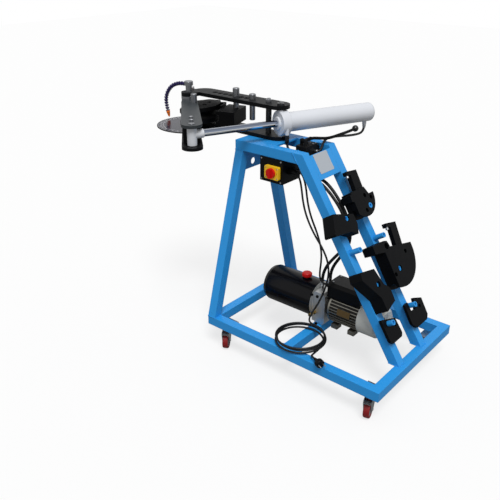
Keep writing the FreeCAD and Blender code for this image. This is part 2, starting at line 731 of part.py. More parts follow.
def make_pedal(corner, where, turn, half_tread):
    """A brake tab on a sleeve between the fork's sides, pressed down on the tread."""
    width = "(2 * %s - 1)" % half_tread
    outline = [("-5", "-3"), ("4", "-5"), ("24", "6"), ("26", "9"), ("4", "4"), ("-3", "5")]
    body = new_body(corner + "_pedal_body")
    sketch = new_sketch(body, "XZ_Plane")
    draw_polygon(sketch, outline)
    draw_circle(sketch, "0", "0", "2.5 + running_fit")
    pad(body, sketch, width, centred=True)
    local_place(body, where, turn, "caster_trail + 18", "0", "wheel_radius + 41")
    node(corner + "_brake_pedal", body)


# Spare formers that hang on the rack's pegs

def rack_plate(name, points, thickness, holes, out="rack_gap"):
    """A flat former of one outline with round holes, hung on the rack."""
    body = new_body(name)
    rack_place(body, out=out)
    sketch = new_sketch(body)
    draw_polygon(sketch, points)
    for x, y, radius in holes:
        draw_circle(sketch, x, y, radius)
    pad(body, sketch, thickness)
    return body


def spare_die(name, centre, radius, thickness, flat, arm, boss, holes):
    """A half-round die with its tube groove, hook arm and clamp boss."""
    middle_x, middle_y = centre
    wheel = cylinder(name + "_wheel", 0, 0, 0, radius, thickness)
    rack_place(wheel, middle_x, middle_y, "rack_gap")
    groove = torus(name + "_groove", 0, 0, 0, radius, "tube_radius + groove_play")
    rack_place(groove, middle_x, middle_y, "rack_gap + %s / 2" % thickness)
    half = rack_plate(name + "_half", flat, thickness, ())
    body = common(name + "_sector", cut(name + "_grooved", wheel, groove), half)
    arm_bar = rack_plate(name + "_arm", arm, "arm_bar", (), "rack_gap + %s - arm_bar - 8" % thickness)
    boss_block = rack_plate(name + "_boss", boss, thickness, ())
    drills = []
    for number, (x, y, bore) in enumerate(holes):
        drill = cylinder("%s_drill_%d" % (name, number), 0, 0, 0, bore, "%s + 2" % thickness)
        rack_place(drill, x, y, "rack_gap - 1")
        drills.append(drill)
    return cut(name, fuse(name + "_fused", body, arm_bar, boss_block), *drills)


def make_formers():
    peg_hole = "peg_radius + peg_fit"
    small = spare_die(
        "small_die", ("360", "662"), "86", "50",
        [("300", "570"), ("450", "570"), ("450", "656"), ("414", "656"), ("400", "690"),
         ("306", "690")],
        [("350", "650"), ("402", "650"), ("413", "764"), ("345", "772"), ("343", "758"),
         ("364", "752")],
        [("291", "655"), ("345", "640"), ("352", "686"), ("294", "682")],
        [("back_peg_y", "peg_fourth", peg_hole), ("383", "657", "9"), ("418", "640", "9"),
         ("358", "600", "9")])
    large = spare_die(
        "large_die", ("398", "394"), "136", "55",
        [("336", "250"), ("545", "250"), ("545", "396"), ("482", "410"), ("345", "440")],
        [("440", "400"), ("484", "400"), ("507", "503"), ("436", "517"), ("434", "500"),
         ("459", "494")],
        [("281", "434"), ("352", "418"), ("390", "432"), ("384", "456"), ("366", "462"),
         ("284", "468")],
        [("back_peg_y", "peg_second", peg_hole), ("368", "438", "13"), ("474", "379", "9"),
         ("350", "322", "9")])
    node("half_round_dies", group("half_round_dies_group", small, large))
    blocks = [
        rack_plate("small_block", [("104", "572"), ("201", "559"), ("238", "538"),
                                   ("258", "575"), ("258", "614"), ("144", "649")], "55",
                   [("front_peg_y", "peg_fourth", peg_hole)]),
        rack_plate("stepped_block", [("133", "379"), ("196", "282"), ("196", "226"),
                                     ("266", "243"), ("270", "296"), ("244", "322"),
                                     ("226", "393"), ("142", "409")], "60",
                   [("front_peg_y", "peg_second", peg_hole)])]
    for block, corner in zip(blocks, (("104", "572"), ("142", "409"))):
        round_edges(block, "6", upright_at(corner))
    front = rack_plate("front_hanger", [("178", "112"), ("190", "100"), ("258", "100"),
                                        ("270", "112"), ("266", "177"), ("178", "204")], "hanger_depth",
                       [("front_peg_y", "peg_first", peg_hole), ("249", "157", "8")],
                       "rack_gap + 12")
    back = rack_plate("back_hanger", [("352", "110"), ("372", "84"), ("460", "84"),
                                      ("478", "100"), ("484", "172"), ("432", "192"),
                                      ("416", "150"), ("408", "150"), ("384", "150"),
                                      ("381.4", "163"), ("381.4", "192"), ("358", "190")], "hanger_depth",
                      [("450", "149", "8")], "rack_gap + 12")
    round_edges(front, "11", upright_at(("178", "112"), ("270", "112")))
    round_edges(back, "12", upright_at(("352", "110"), ("372", "84"), ("460", "84")))
    node("spare_blocks", group("spare_blocks_group", front, back, *blocks))


# Power pack: oil tank, manifold, gear pump, motor and fan cowl

def make_power_pack():
    tank_length = "(manifold_x - tank_x)"
    tank = turned("tank_shell", [
        ("0", "0"), ("0", "tank_radius - tank_round"), ("tank_round * 0.3", "tank_radius - tank_round * 0.3"),
        ("tank_round", "tank_radius"), (tank_length, "tank_radius"),
        (tank_length, "tank_radius - tank_wall"),
        ("tank_round", "tank_radius - tank_wall"),
        ("tank_round * 0.3 + tank_wall * 0.7", "tank_radius - tank_round * 0.3 - tank_wall * 0.7"),
        ("tank_wall", "tank_radius - tank_round"), ("tank_wall", "0")],
        upright=False, x="stand_x + tank_x", y="pump_y", z="pump_z")
    neck = turned("tank_neck", [
        ("12", "tank_radius - tank_wall * 1.6"), ("15", "tank_radius - tank_wall * 1.6"),
        ("15", "tank_radius + 5"), ("12", "tank_radius + 5")],
        x="stand_x + cap_x", y="pump_y", z="pump_z")
    mouth = cylinder("tank_mouth", "stand_x + cap_x", "pump_y", "pump_z", "12", "tank_radius + 10")
    node("oil_tank", fuse("oil_tank_fused", cut("tank_pierced", tank, mouth), neck))
    cap = turned("cap_turned", [
        ("0", "-9"), ("12 - running_fit", "-9"), ("12 - running_fit", "0.3"),
        ("cap_radius - 1", "0.3"), ("cap_radius", "2"), ("cap_radius", "cap_height - 3"),
        ("cap_radius - 3", "cap_height"), ("0", "cap_height")],
        x="stand_x + cap_x", y="pump_y", z="pump_z + tank_radius + 5")
    node("filler_cap", cap)

    block = prism("manifold_block", [
        ("0", "manifold_rise"), ("manifold_length", "manifold_rise"),
        ("manifold_length", "manifold_rise + manifold_height - 12"),
        ("manifold_length - 12", "manifold_rise + manifold_height"),
        ("12", "manifold_rise + manifold_height"),
        ("0", "manifold_rise + manifold_height - 12")], "manifold_depth", "XZ_Plane",
        centred=True, x="stand_x + manifold_x", y="pump_y", z="rail_top")
    foot = box("manifold_foot", "stand_x + middle_rail_x", "pump_y - manifold_depth / 2 + 8",
               "rail_top", "tube_side", "manifold_depth - 16", "manifold_rise")
    bore = cylinder("manifold_bore", "stand_x + manifold_x - 1", "pump_y", "pump_z",
                    "shaft_radius + 0.3", "manifold_length + 2", pitch=90)
    spigot = cylinder("manifold_spigot", "stand_x + manifold_x - 10", "pump_y", "pump_z",
                      "tank_radius - tank_wall - 0.1", "10", pitch=90)
    node("manifold", cut("manifold_cut", fuse("manifold_fused", block, foot, spigot), bore,
                         cylinder("spigot_bore", "stand_x + manifold_x - 11", "pump_y", "pump_z",
                                  "shaft_radius + 0.3", "12", pitch=90)))

    pump = box("pump_body", "stand_x + manifold_x - 10 - 62", "pump_y - 32", "pump_z - 40",
               "62", "64", "80")
    suction = cylinder("suction_pipe", "stand_x + manifold_x - 50", "pump_y", "pump_z - 66",
                       "9", "27")
    strainer = cylinder("suction_strainer", "stand_x + manifold_x - 50", "pump_y", "pump_z - 72",
                        "22", "20")
    pump_bore = cylinder("pump_bore", "stand_x + manifold_x - 55", "pump_y", "pump_z",
                         "shaft_radius + running_fit", "60", pitch=90)
    node("gear_pump", cut("gear_pump_cut", fuse("gear_pump_fused", pump, suction, strainer),
                          pump_bore))

    make_motor()


def make_motor():
    bell = turned("motor_bell", [
        ("manifold_x + manifold_length", "shaft_radius + 2"),
        ("manifold_x + manifold_length", "50"), ("manifold_x + manifold_length + 6", "50"),
        ("manifold_x + manifold_length + 12", "44"), ("motor_x - 8", "60"),
        ("motor_x - 8", "motor_radius + fin_height"), ("motor_x", "motor_radius + fin_height"),
        ("motor_x", "motor_radius"), ("motor_x + motor_length - 6", "motor_radius"),
        ("motor_x + motor_length - 6", "motor_radius + fin_height"),
        ("motor_x + motor_length", "motor_radius + fin_height"),
        ("motor_x + motor_length", "motor_radius - 10"),
        ("motor_x + motor_length - 6", "motor_radius - 10"),
        ("motor_x + motor_length - 6", "motor_radius - 7"),
        ("motor_x", "motor_radius - 7"), ("motor_x", "shaft_radius + 2")],
        upright=False, x="stand_x", y="pump_y", z="pump_z")
    fin = new_body("motor_fins", "stand_x + motor_x", "pump_y", "pump_z")
    sketch = new_sketch(fin, "XY_Plane")
    draw_rectangle(sketch, "0", "motor_radius - 3", "motor_length", "motor_radius + fin_height")
    first_fin = pad(fin, sketch, "fin_thickness", centred=True)
    pattern = fin.newObject("PartDesign::PolarPattern", "fin_ring")
    pattern.Originals = [first_fin]
    pattern.Axis = (next(item for item in fin.Origin.OriginFeatures if item.Role == "X_Axis"), [""])
    pattern.Angle = 360
    bind(pattern, Occurrences="fin_count")
    ring = turned("fin_root", [
        ("0", "motor_radius - 4"), ("motor_length", "motor_radius - 4"),
        ("motor_length", "motor_radius - 1"), ("0", "motor_radius - 1")],
        upright=False, x="stand_x + motor_x", y="pump_y", z="pump_z")
    fin.Tip = pattern
    feet = [box("motor_foot_%d" % number, "stand_x + motor_x + %s" % x, "pump_y + %s" % y,
                "pump_z - motor_radius - fin_height - 6", "30", "34", "20")
            for number, (x, y) in enumerate((("12", "-62"), ("92", "-62"), ("12", "28"),
                                             ("92", "28")))]
    core = cylinder("motor_core", "stand_x + motor_x - 5", "pump_y", "pump_z",
                    "motor_radius - 7", "motor_length + 3", pitch=90)
    feet_shell = cut("motor_feet_cut", fuse("motor_feet", *feet), core)
    node("motor_case", fuse("motor_case_fused", bell, ring, fin, feet_shell))

    cowl = turned("cowl_shell", [
        ("-8", "cowl_radius - cowl_wall"), ("-8", "cowl_radius"),
        ("cowl_length - 26", "cowl_radius"), ("cowl_length - 8", "cowl_end_radius + 10"),
        ("cowl_length", "cowl_end_radius"), ("cowl_length", "0"), ("cowl_length - cowl_wall", "0"),
        ("cowl_length - cowl_wall", "cowl_end_radius - 2"),
        ("cowl_length - 8 - cowl_wall", "cowl_end_radius + 8"),
        ("cowl_length - 26 - cowl_wall", "cowl_radius - cowl_wall")],
        upright=False, x="stand_x + motor_x + motor_length", y="pump_y", z="pump_z")
    slots = []
    for number in range(12):
        angle = 30 * number
        slot = box("cowl_slot_%d" % number, 0, 0, 0, "cowl_wall * 4", "5", "28")
        place(slot, "stand_x + motor_x + motor_length + cowl_length - cowl_wall * 2",
              "pump_y - sin(%s) * 18 - cos(%s) * 2.5" % (angle, angle),
              "pump_z + cos(%s) * 18 - sin(%s) * 2.5" % (angle, angle), roll=angle)
        slots.append(slot)
    node("fan_cowl", cut("fan_cowl_cut", cowl, *slots))

    blades = [box("fan_blade_%d" % number, "stand_x + motor_x + motor_length + 40",
                  "pump_y", "pump_z", "26", "2.5", "52", roll=45 * number)
              for number in range(8)]
    rotor = turned("rotor_turned", [
        ("manifold_x - 45", "0"), ("manifold_x - 45", "shaft_radius"),
        ("motor_x + 22", "shaft_radius"), ("motor_x + 22", "rotor_radius"),
        ("motor_x + motor_length - 30", "rotor_radius"),
        ("motor_x + motor_length - 30", "shaft_radius"),
        ("motor_x + motor_length + 36", "shaft_radius"), ("motor_x + motor_length + 36", "18"),
        ("motor_x + motor_length + 70", "18"), ("motor_x + motor_length + 70", "0")],
        upright=False, x="stand_x", y="pump_y", z="pump_z")
    node("motor_rotor", fuse("motor_rotor_fused", rotor, *blades))

    box_outline = [("0 - terminal_depth / 2", "terminal_low"), ("terminal_depth / 2", "terminal_low"),
                   ("terminal_depth / 2", "terminal_high - 14"),
                   ("terminal_depth / 2 - 10", "terminal_high"),
                   ("10 - terminal_depth / 2", "terminal_high"),
                   ("0 - terminal_depth / 2", "terminal_high - 14")]
    case = prism("terminal_case", box_outline, "terminal_length", "YZ_Plane",
                 x="stand_x + terminal_x", y="pump_y", z="rail_top")
    hollow = cylinder("terminal_hollow", "stand_x + terminal_x - 5", "pump_y", "pump_z",
                      "motor_radius + fin_height + 0.2", "terminal_length + 10", pitch=90)
    node("terminal_box", cut("terminal_box_cut", case, hollow))


# Control box with its switch, control valve with its lever

def make_controls():
    where = ("stand_x + box_x", "front_y + top_inset", "deck - tube_side - box_height")
    outer = box("box_outer", *where, "box_length", "box_depth", "box_height")
    inner = box("box_inner", "%s + box_wall" % where[0], "%s - 1" % where[1],
                "%s + box_wall" % where[2], "box_length - 2 * box_wall",
                "box_depth - box_wall + 1", "box_height - 2 * box_wall")
    node("control_box", cut("control_box_cut", outer, inner))
    cover = box("cover_plate", where[0], "%s - box_wall" % where[1], where[2],
                "box_length", "box_wall", "box_height")
    lip = box("cover_lip", "%s + box_wall + 0.3" % where[0], where[1],
              "%s + box_wall + 0.3" % where[2], "box_length - 2 * box_wall - 0.6", "3",
              "box_height - 2 * box_wall - 0.6")
    shaft_bore = cylinder("cover_bore", "stand_x + switch_x", "%s + 5" % where[1],
                          "deck - switch_drop", "6", "20", roll=90)
    node("control_box_cover", cut("cover_cut", fuse("cover_fused", cover, lip), shaft_bore))
    contactor = box("contactor_body", "%s + 24" % where[0],
                    "%s + box_depth - box_wall - 60" % where[1],
                    "%s + 22" % where[2], "60", "60", "56")
    node("contactor", contactor)
    front = "(front_y + top_inset - box_wall)"
    plate = prism("switch_plate_body", [
        ("0 - switch_width / 2", "0 - switch_height / 2"), ("switch_width / 2", "0 - switch_height / 2"),
        ("switch_width / 2", "switch_height / 2"), ("0 - switch_width / 2", "switch_height / 2")],
        "switch_depth", "XZ_Plane", x="stand_x + switch_x", y=front, z="deck - switch_drop")
    round_edges(plate, "6", lambda edge: abs(edge.Vertexes[0].Y - edge.Vertexes[-1].Y) > 1)
    node("switch_plate", cut("switch_plate_cut", plate, cylinder(
        "switch_bore", "stand_x + switch_x", "%s + 1" % front, "deck - switch_drop",
        "5 + running_fit", "switch_depth + 2", roll=90)))
    knob = cylinder("knob_disc", "stand_x + switch_x", "%s - switch_depth - 0.3" % front,
                    "deck - switch_drop", "knob_radius", "knob_depth - 8", roll=90)
    grip = box("knob_grip", "stand_x + switch_x - 6",
               "%s - switch_depth - knob_depth" % front,
               "deck - switch_drop - knob_radius + 2", "12", "knob_depth - 1",
               "2 * knob_radius - 4")
    stem = cylinder("knob_stem", "stand_x + switch_x", "%s + 4" % front, "deck - switch_drop",
                    "5", "switch_depth + 6", roll=90)
    node("switch_knob", fuse("switch_knob_fused", knob, grip, stem))

    side = "(stand_x + box_x + box_length)"
    glands = []
    for number, (inset, z) in enumerate((("69", "deck - 96"), ("43", "deck - 96"))):
        glands.append(turned("box_gland_%d" % number, [
            ("0", "cable_radius"), ("0", "11"), ("8", "11"), ("8", "9"), ("18", "9"),
            ("24", "cable_radius + 1.5"), ("24", "cable_radius")],
            upright=False, x=side, y="front_y + top_inset + %s" % inset, z=z))
    glands.append(turned("terminal_gland", [
        ("0", "cable_radius"), ("0", "10"), ("-8", "10"), ("-8", "8"), ("-16", "8"),
        ("-21", "cable_radius + 1.5"), ("-21", "cable_radius")],
        upright=False, x="stand_x + terminal_x", y="pump_y - 30", z="rail_top + 190"))
    node("cable_glands", group("cable_glands_group", *glands))

    body = box("valve_body", "stand_x + valve_x", "front_y + valve_inset", "deck - valve_low",
               "valve_length", "valve_depth", "valve_low + valve_high")
    spool_y = "(front_y + lever_pivot_inset + spool_arm)"
    spool_x = "(stand_x + valve_x + valve_length / 2)"
    spool_bore = cylinder("spool_bore", spool_x, spool_y, "deck - valve_low + 12",
                          "spool_radius + running_fit", "valve_low + valve_high")
    cheeks = [box("valve_cheek_%d" % number, "%s + %s" % (spool_x, x),
                  "front_y + lever_pivot_inset - 9", "deck + valve_high", "5", "18",
                  "lever_lift + 3")
              for number, x in enumerate(("-12", "7"))]
    pivot = cylinder("lever_pin", "%s - 12" % spool_x, "front_y + lever_pivot_inset",
                     "deck + lever_lift", "3.5", "24", pitch=90)
    bracket = box("valve_bracket", "stand_x + valve_x + 6",
                  "front_y + valve_inset + valve_depth", "deck - 60", "36",
                  "top_inset + top_width - tube_side - valve_inset - valve_depth", "50")
    node("control_valve", cut("control_valve_cut", fuse("control_valve_fused", body, pivot,
                                                        bracket, *cheeks), spool_bore))
    spool = turned("spool_turned", [
        ("0", "0 - valve_low + 22"), ("spool_radius", "0 - valve_low + 22"),
        ("spool_radius", "0 - valve_low + 34"), ("spool_radius - 3", "0 - valve_low + 38"),
        ("spool_radius - 3", "0 - valve_low + 50"), ("spool_radius", "0 - valve_low + 54"),
        ("spool_radius", "lever_lift - 10"), ("0", "lever_lift - 10")],
        x=spool_x, y=spool_y, z="deck")
    node("valve_spool", spool)
    hub = cylinder("lever_hub", "%s - 6.7" % spool_x, "front_y + lever_pivot_inset",
                   "deck + lever_lift", "8.5", "13.4", pitch=90)
    tongue = box("lever_tongue", "%s - 5" % spool_x, "front_y + lever_pivot_inset",
                 "deck + lever_lift - 6", "10", "spool_arm + 12", "12")
    start = Vector(size(spool_x), size(spool_y) + 8, size("deck + lever_lift"))
    points = [start, start + Vector(8, 14, 0), start + Vector(size("lever_offset") - 8, 40, 0),
              start + Vector(size("lever_offset"), 75, 0),
              Vector(size(spool_x + " + lever_offset + 4"),
                     size("front_y + lever_pivot_inset + lever_reach - 60"),
                     size("deck + lever_lift")),
              Vector(size(spool_x + " + lever_offset"),
                     size("front_y + lever_pivot_inset + lever_reach"),
                     size("deck + lever_lift"))]
    rod = solid("lever_rod", tube_along("lever rod", points, size("lever_radius")))
    ball = sphere("lever_ball", spool_x + " + lever_offset",
                  "front_y + lever_pivot_inset + lever_reach", "deck + lever_lift",
                  "ball_radius")
    pin_bore = cylinder("lever_bore", "%s - 20" % spool_x, "front_y + lever_pivot_inset",
                        "deck + lever_lift", "3.5 + running_fit", "40", pitch=90)
    node("valve_lever", cut("valve_lever_cut", fuse("valve_lever_fused", hub, tongue, rod, ball),
                            pin_bore))
    fittings = []
    for number, (x, y) in enumerate((("-10", "18"), ("12", "36"))):
        fittings.append(cylinder("valve_nut_%d" % number, "%s + %s" % (spool_x, x),
                                 "front_y + valve_inset + %s" % y, "deck - valve_low - 14",
                                 "10", "14"))
    for number, (x, y) in enumerate((("18", "-14"), ("42", "10"))):
        fittings.append(cylinder("manifold_nut_%d" % number, "stand_x + manifold_x + %s" % x,
                                 "pump_y + %s" % y,
                                 "rail_top + manifold_rise + manifold_height", "10", "16"))
    fittings.append(cylinder("relief_knob", "stand_x + manifold_x + 14",
                             "pump_y - manifold_depth / 2", "rail_top + manifold_rise + 44",
                             "7", "26", roll=90))
    fittings.append(cylinder("relief_cap", "stand_x + manifold_x + 14",
                             "pump_y - manifold_depth / 2 - 26", "rail_top + manifold_rise + 44",
                             "9", "12", roll=90))
    node("hose_fittings", group("hose_fittings_group", *fittings))


# Bending head: plates, main pin, swing arm, die, follow block and pins

def make_head_plates():
    end_x = "plate_end_x - plate_depth / 2"
    back = "plate_front + plate_depth"
    tangent_x = "0 - pin_overhang - nose_radius * cos(nose_flare)"
    tangent_y = "pin_inset + nose_radius * sin(nose_flare)"
    corner = ("%s + (%s - (%s)) * sin(nose_flare) / cos(nose_flare)"
              % (tangent_x, back, tangent_y), back)
    outline = [(end_x, "plate_front"), (end_x, back), corner, (tangent_x, tangent_y),
               ("0 - pin_overhang", "pin_inset"),
               ("nose_radius * cos(nose_return) - pin_overhang",
                "pin_inset - nose_radius * sin(nose_return)"),
               ("nose_corner_x", "plate_front")]
    for name, z in (("bottom_plate", "deck"), ("top_plate", "top_plate_z")):
        body = prism(name + "_body", outline, "plate_thickness", x="stand_x", y="front_y", z=z)
        round_edges(body, "shoulder_radius", upright_at(corner))
        for x, y, radius in ((end_x, "plate_front + plate_depth / 2", "plate_depth / 2"),
                             ("0 - pin_overhang", "pin_inset", "nose_radius")):
            sketch = new_sketch(body)
            draw_circle(sketch, x, y, radius)
            pad(body, sketch, "plate_thickness")
        sketch = new_sketch(body)
        draw_circle(sketch, "0 - pin_overhang", "pin_inset", "main_pin_radius + running_fit")
        draw_circle(sketch, "trunnion_x", "trunnion_inset", "trunnion_radius + running_fit")
        draw_circle(sketch, "post_x", "hole_row_inset + 2", "post_radius - 4")
        pocket(body, sketch)
        sketch = new_sketch(body)
        draw_circle(sketch, "last_hole_x", "hole_row_inset", "pin_hole")
        hole = pocket(body, sketch)
        row_of_holes = body.newObject("PartDesign::LinearPattern", body.Name + "_holes")
        row_of_holes.Originals = [hole]
        axis = next(item for item in body.Origin.OriginFeatures if item.Role == "X_Axis")
        row_of_holes.Direction = (axis, [""])
        row_of_holes.Reversed = True
        bind(row_of_holes, Length="hole_pitch * (hole_count - 1)", Occurrences="hole_count")
        body.Tip = row_of_holes
        node(name, body)
    post = turned("post_turned", [
        ("0", "0 - plate_gap - plate_thickness"), ("post_radius - 4", "0 - plate_gap - plate_thickness"),
        ("post_radius - 4", "0 - plate_gap"), ("post_radius", "0 - plate_gap"),
        ("post_radius", "0"), ("post_radius - 4", "0"), ("post_radius - 4", "plate_thickness"),
        ("post_radius + 1", "plate_thickness"), ("post_radius + 1", "plate_thickness + 10"),
        ("post_radius - 4", "plate_thickness + 10"), ("post_radius - 5", "plate_thickness + 16"),
        ("0", "plate_thickness + 16")],
        x="stand_x + post_x", y="front_y + hole_row_inset + 2", z="top_plate_z")
    node("head_post", post)


def make_pins():
    node("main_pin", turned("main_pin_turned", [
        ("0", "-16"), ("main_pin_radius + 8", "-16"), ("main_pin_radius + 8", "0 - disc_drop"),
        ("main_pin_radius", "0 - disc_drop"), ("main_pin_radius", "top_plate_top - deck + 28"),
        ("main_cap_radius", "top_plate_top - deck + 28"),
        ("main_cap_radius", "top_plate_top - deck + main_cap_rise - 2"),
        ("main_cap_radius - 2", "top_plate_top - deck + main_cap_rise"),
        ("0", "top_plate_top - deck + main_cap_rise")], x="pin_x", y="pin_y", z="deck"))
    for name, x, rise, low in (("follow_pin", "follow_pin_x", "35", "deck + 1"),
                               ("spare_pin", "spare_pin_x", "22", "deck + 55")):
        node(name, turned(name + "_turned", [
            ("0", "(%s) - top_plate_top" % low),
            ("pin_hole - pin_play - 2", "(%s) - top_plate_top" % low),
            ("pin_hole - pin_play", "(%s) - top_plate_top + 2" % low),
            ("pin_hole - pin_play", "0.2"), ("pin_hole + 2", "0.2"), ("pin_hole + 2", rise + " - 2"),
            ("pin_hole", rise), ("0", rise)], x=x, y="hole_y", z="top_plate_top"))


def make_arm():
    link_x = "die_link_circle * cos(die_link_angle - arm_angle)"
    link_y = "die_link_circle * sin(die_link_angle - arm_angle)"
    arms = {}
    for name, lift, shift in (("upper_arm", "upper_arm_lift", "upper_end_shift"),
                              ("lower_arm", "lower_arm_lift", "lower_end_shift")):
        body = new_body(name + "_body", "pin_x", "pin_y", "deck + %s" % lift, yaw="arm_angle")
        sketch = new_sketch(body)
        draw_link(sketch, "arm_near_radius", "arm_far_radius", "0", "arm_length + %s" % shift)
        pad(body, sketch, "arm_thickness")
        sketch = new_sketch(body)
        draw_circle(sketch, "0", "0", "main_pin_radius")
        draw_circle(sketch, "arm_length", "0", "eye_pin_radius")
        draw_circle(sketch, link_x, link_y, "link_pin_radius")
        pocket(body, sketch)
        arms[name] = body
    node("upper_arm", arms["upper_arm"])
    web = box("arm_web", 0, 0, 0, "web_thickness", "web_width",
              "upper_arm_lift - lower_arm_lift - arm_thickness")
    place(web, "pin_x + (arm_length - web_back - web_thickness / 2) * cos(arm_angle)"
               " + web_width / 2 * sin(arm_angle)",
          "pin_y + (arm_length - web_back - web_thickness / 2) * sin(arm_angle)"
          " - web_width / 2 * cos(arm_angle)",
          "deck + lower_arm_lift + arm_thickness", yaw="arm_angle")
    node("lower_arm", fuse("lower_arm_welded", arms["lower_arm"], web))

    arm_top = "upper_arm_lift + arm_thickness"
    eye_pin = turned("eye_pin_turned", [
        ("0", "lower_arm_lift"), ("eye_pin_radius", "lower_arm_lift"), ("eye_pin_radius", arm_top),
        ("eye_pin_radius + 4", arm_top), ("eye_pin_radius + 4", arm_top + " + 2"),
        ("eye_pin_radius + 3", arm_top + " + 3"), ("0", arm_top + " + 3")],
        x="eye_x", y="eye_y", z="deck")
    link_pin = turned("link_pin_turned", [
        ("0", "lower_arm_lift"), ("link_pin_radius", "lower_arm_lift"),
        ("link_pin_radius", arm_top), ("13", arm_top), ("13", arm_top + " + 37"),
        ("11", arm_top + " + 39"), ("0", arm_top + " + 39")],
        x="pin_x + die_link_circle * cos(die_link_angle)",
        y="pin_y + die_link_circle * sin(die_link_angle)", z="deck")
    bolts = [turned("web_bolt_%d" % number, [
        ("0", "0"), ("8", "0"), ("8", "7"), ("6", "9"), ("0", "9")],
        x="pin_x + (arm_length - %s) * cos(arm_angle)" % back,
        y="pin_y + (arm_length - %s) * sin(arm_angle)" % back,
        z="deck + " + arm_top) for number, back in enumerate(("web_bolt_far", "web_bolt_near"))]
    collar = turned("collar_turned", [
        ("main_pin_radius", arm_top), ("collar_radius", arm_top),
        ("collar_radius", "plate_thickness + plate_gap - 0.3"),
        ("main_pin_radius", "plate_thickness + plate_gap - 0.3")], x="pin_x", y="pin_y", z="deck")
    node("arm_pins", group("arm_pins_group", eye_pin, link_pin, collar, *bolts))


def spot(radius, angle):
    """A point on a circle round the main pin, as a pair of formulas."""
    return ("(%s) * cos(%s)" % (radius, angle), "(%s) * sin(%s)" % (radius, angle))


def make_die():
    where = ("pin_x", "pin_y", "deck + die_low")
    far = "2 * die_radius"
    outline = [("0", "-20"), spot(far, "die_start"), spot(far, "(die_start + die_end) / 2"),
               spot(far, "die_end"), spot("die_radius", "die_end"),
               spot("die_radius * 0.73", "die_end + 16"), ("0", "20")]
    sector = prism("die_sector", outline, "die_height", x=where[0], y=where[1], z=where[2])
    wheel = cylinder("die_wheel", *where, "die_radius", "die_height")
    groove = torus("die_groove", "pin_x", "pin_y", "deck + die_groove_z", "die_radius",
                   "tube_radius + groove_play")
    hub = cylinder("die_hub_disc", *where, "die_hub", "die_height")
    grooved = cut("die_grooved", common("die_rim", wheel, sector), groove)
    inner = "die_radius + tube_radius + hook_play"
    outer = inner + " + hook_thickness"
    above = ("pin_x", "pin_y", "deck + die_low + die_height - hook_height")
    ring = cut("hook_ring", cylinder("hook_outer", *above, outer, "hook_height"),
               cylinder("hook_inner", *above, inner, "hook_height"))
    wide = "(%s) * 1.3" % outer
    hook = common("hook_arc", ring, prism("hook_sector", [
        ("0", "0"), spot(wide, "hook_tip"), spot(wide, "hook_angle + 3")], "hook_height",
        x=above[0], y=above[1], z=above[2]))
    root_ring = cut("root_ring", cylinder("root_outer", *above, outer, "hook_height"),
                    cylinder("root_inner", *above, "die_radius - 26", "hook_height"))
    root = common("hook_root", root_ring, prism("root_sector", [
        ("0", "0"), spot(wide, "hook_angle - 3"), spot(wide, "hook_angle + 3")], "hook_height",
        x=above[0], y=above[1], z=above[2]))
    bores = [cylinder("die_bore", "pin_x", "pin_y", "deck", "main_pin_radius", "die_height * 2")]
    for number in range(3):
        angle = "(die_link_angle + %d * die_link_step)" % number
        bores.append(cylinder(
            "link_hole_%d" % number, "pin_x + die_link_circle * cos(%s)" % angle,
            "pin_y + die_link_circle * sin(%s)" % angle, "deck", "link_pin_radius",
            "die_height * 2"))
    node("bending_die", cut("bending_die_cut", fuse("bending_die_fused", grooved, hub, hook, root),
                            *bores))
    block = prism("follow_block_body", [
        ("0 - follow_back", "0 - follow_far"), ("follow_front", "0 - follow_far"),
        ("follow_front", "follow_near"), ("0 - follow_back", "follow_near")], "follow_height",
        x="follow_pin_x", y="hole_y", z="deck + follow_low", yaw="follow_turn")
    round_edges(block, "6", upright_at(("0 - follow_back", "0 - follow_far"),
                                       ("0 - follow_back", "follow_near")))
    length = "(follow_near + follow_far + 20)"
    channel = cylinder(
        "follow_channel",
        "follow_pin_x + follow_front * cos(follow_turn) - (follow_near + 10) * sin(follow_turn)",
        "hole_y + follow_front * sin(follow_turn) + (follow_near + 10) * cos(follow_turn)",
        "deck + die_groove_z", "tube_radius + groove_play", length, yaw="follow_turn", roll=90)
    bore = cylinder("follow_bore", "follow_pin_x", "hole_y", "deck", "pin_hole", "120")
    node("follow_block", cut("follow_block_cut", block, channel, bore))
    node("degree_disc", turned("degree_disc_turned", [
        ("main_pin_radius", "0 - disc_drop"), ("disc_radius", "0 - disc_drop"),
        ("disc_radius", "disc_thickness - disc_drop"),
        ("main_pin_radius", "disc_thickness - disc_drop")], x="pin_x", y="pin_y", z="deck"))


# Hydraulic cylinder: barrel, head with its pivot pins, piston rod and rod eye

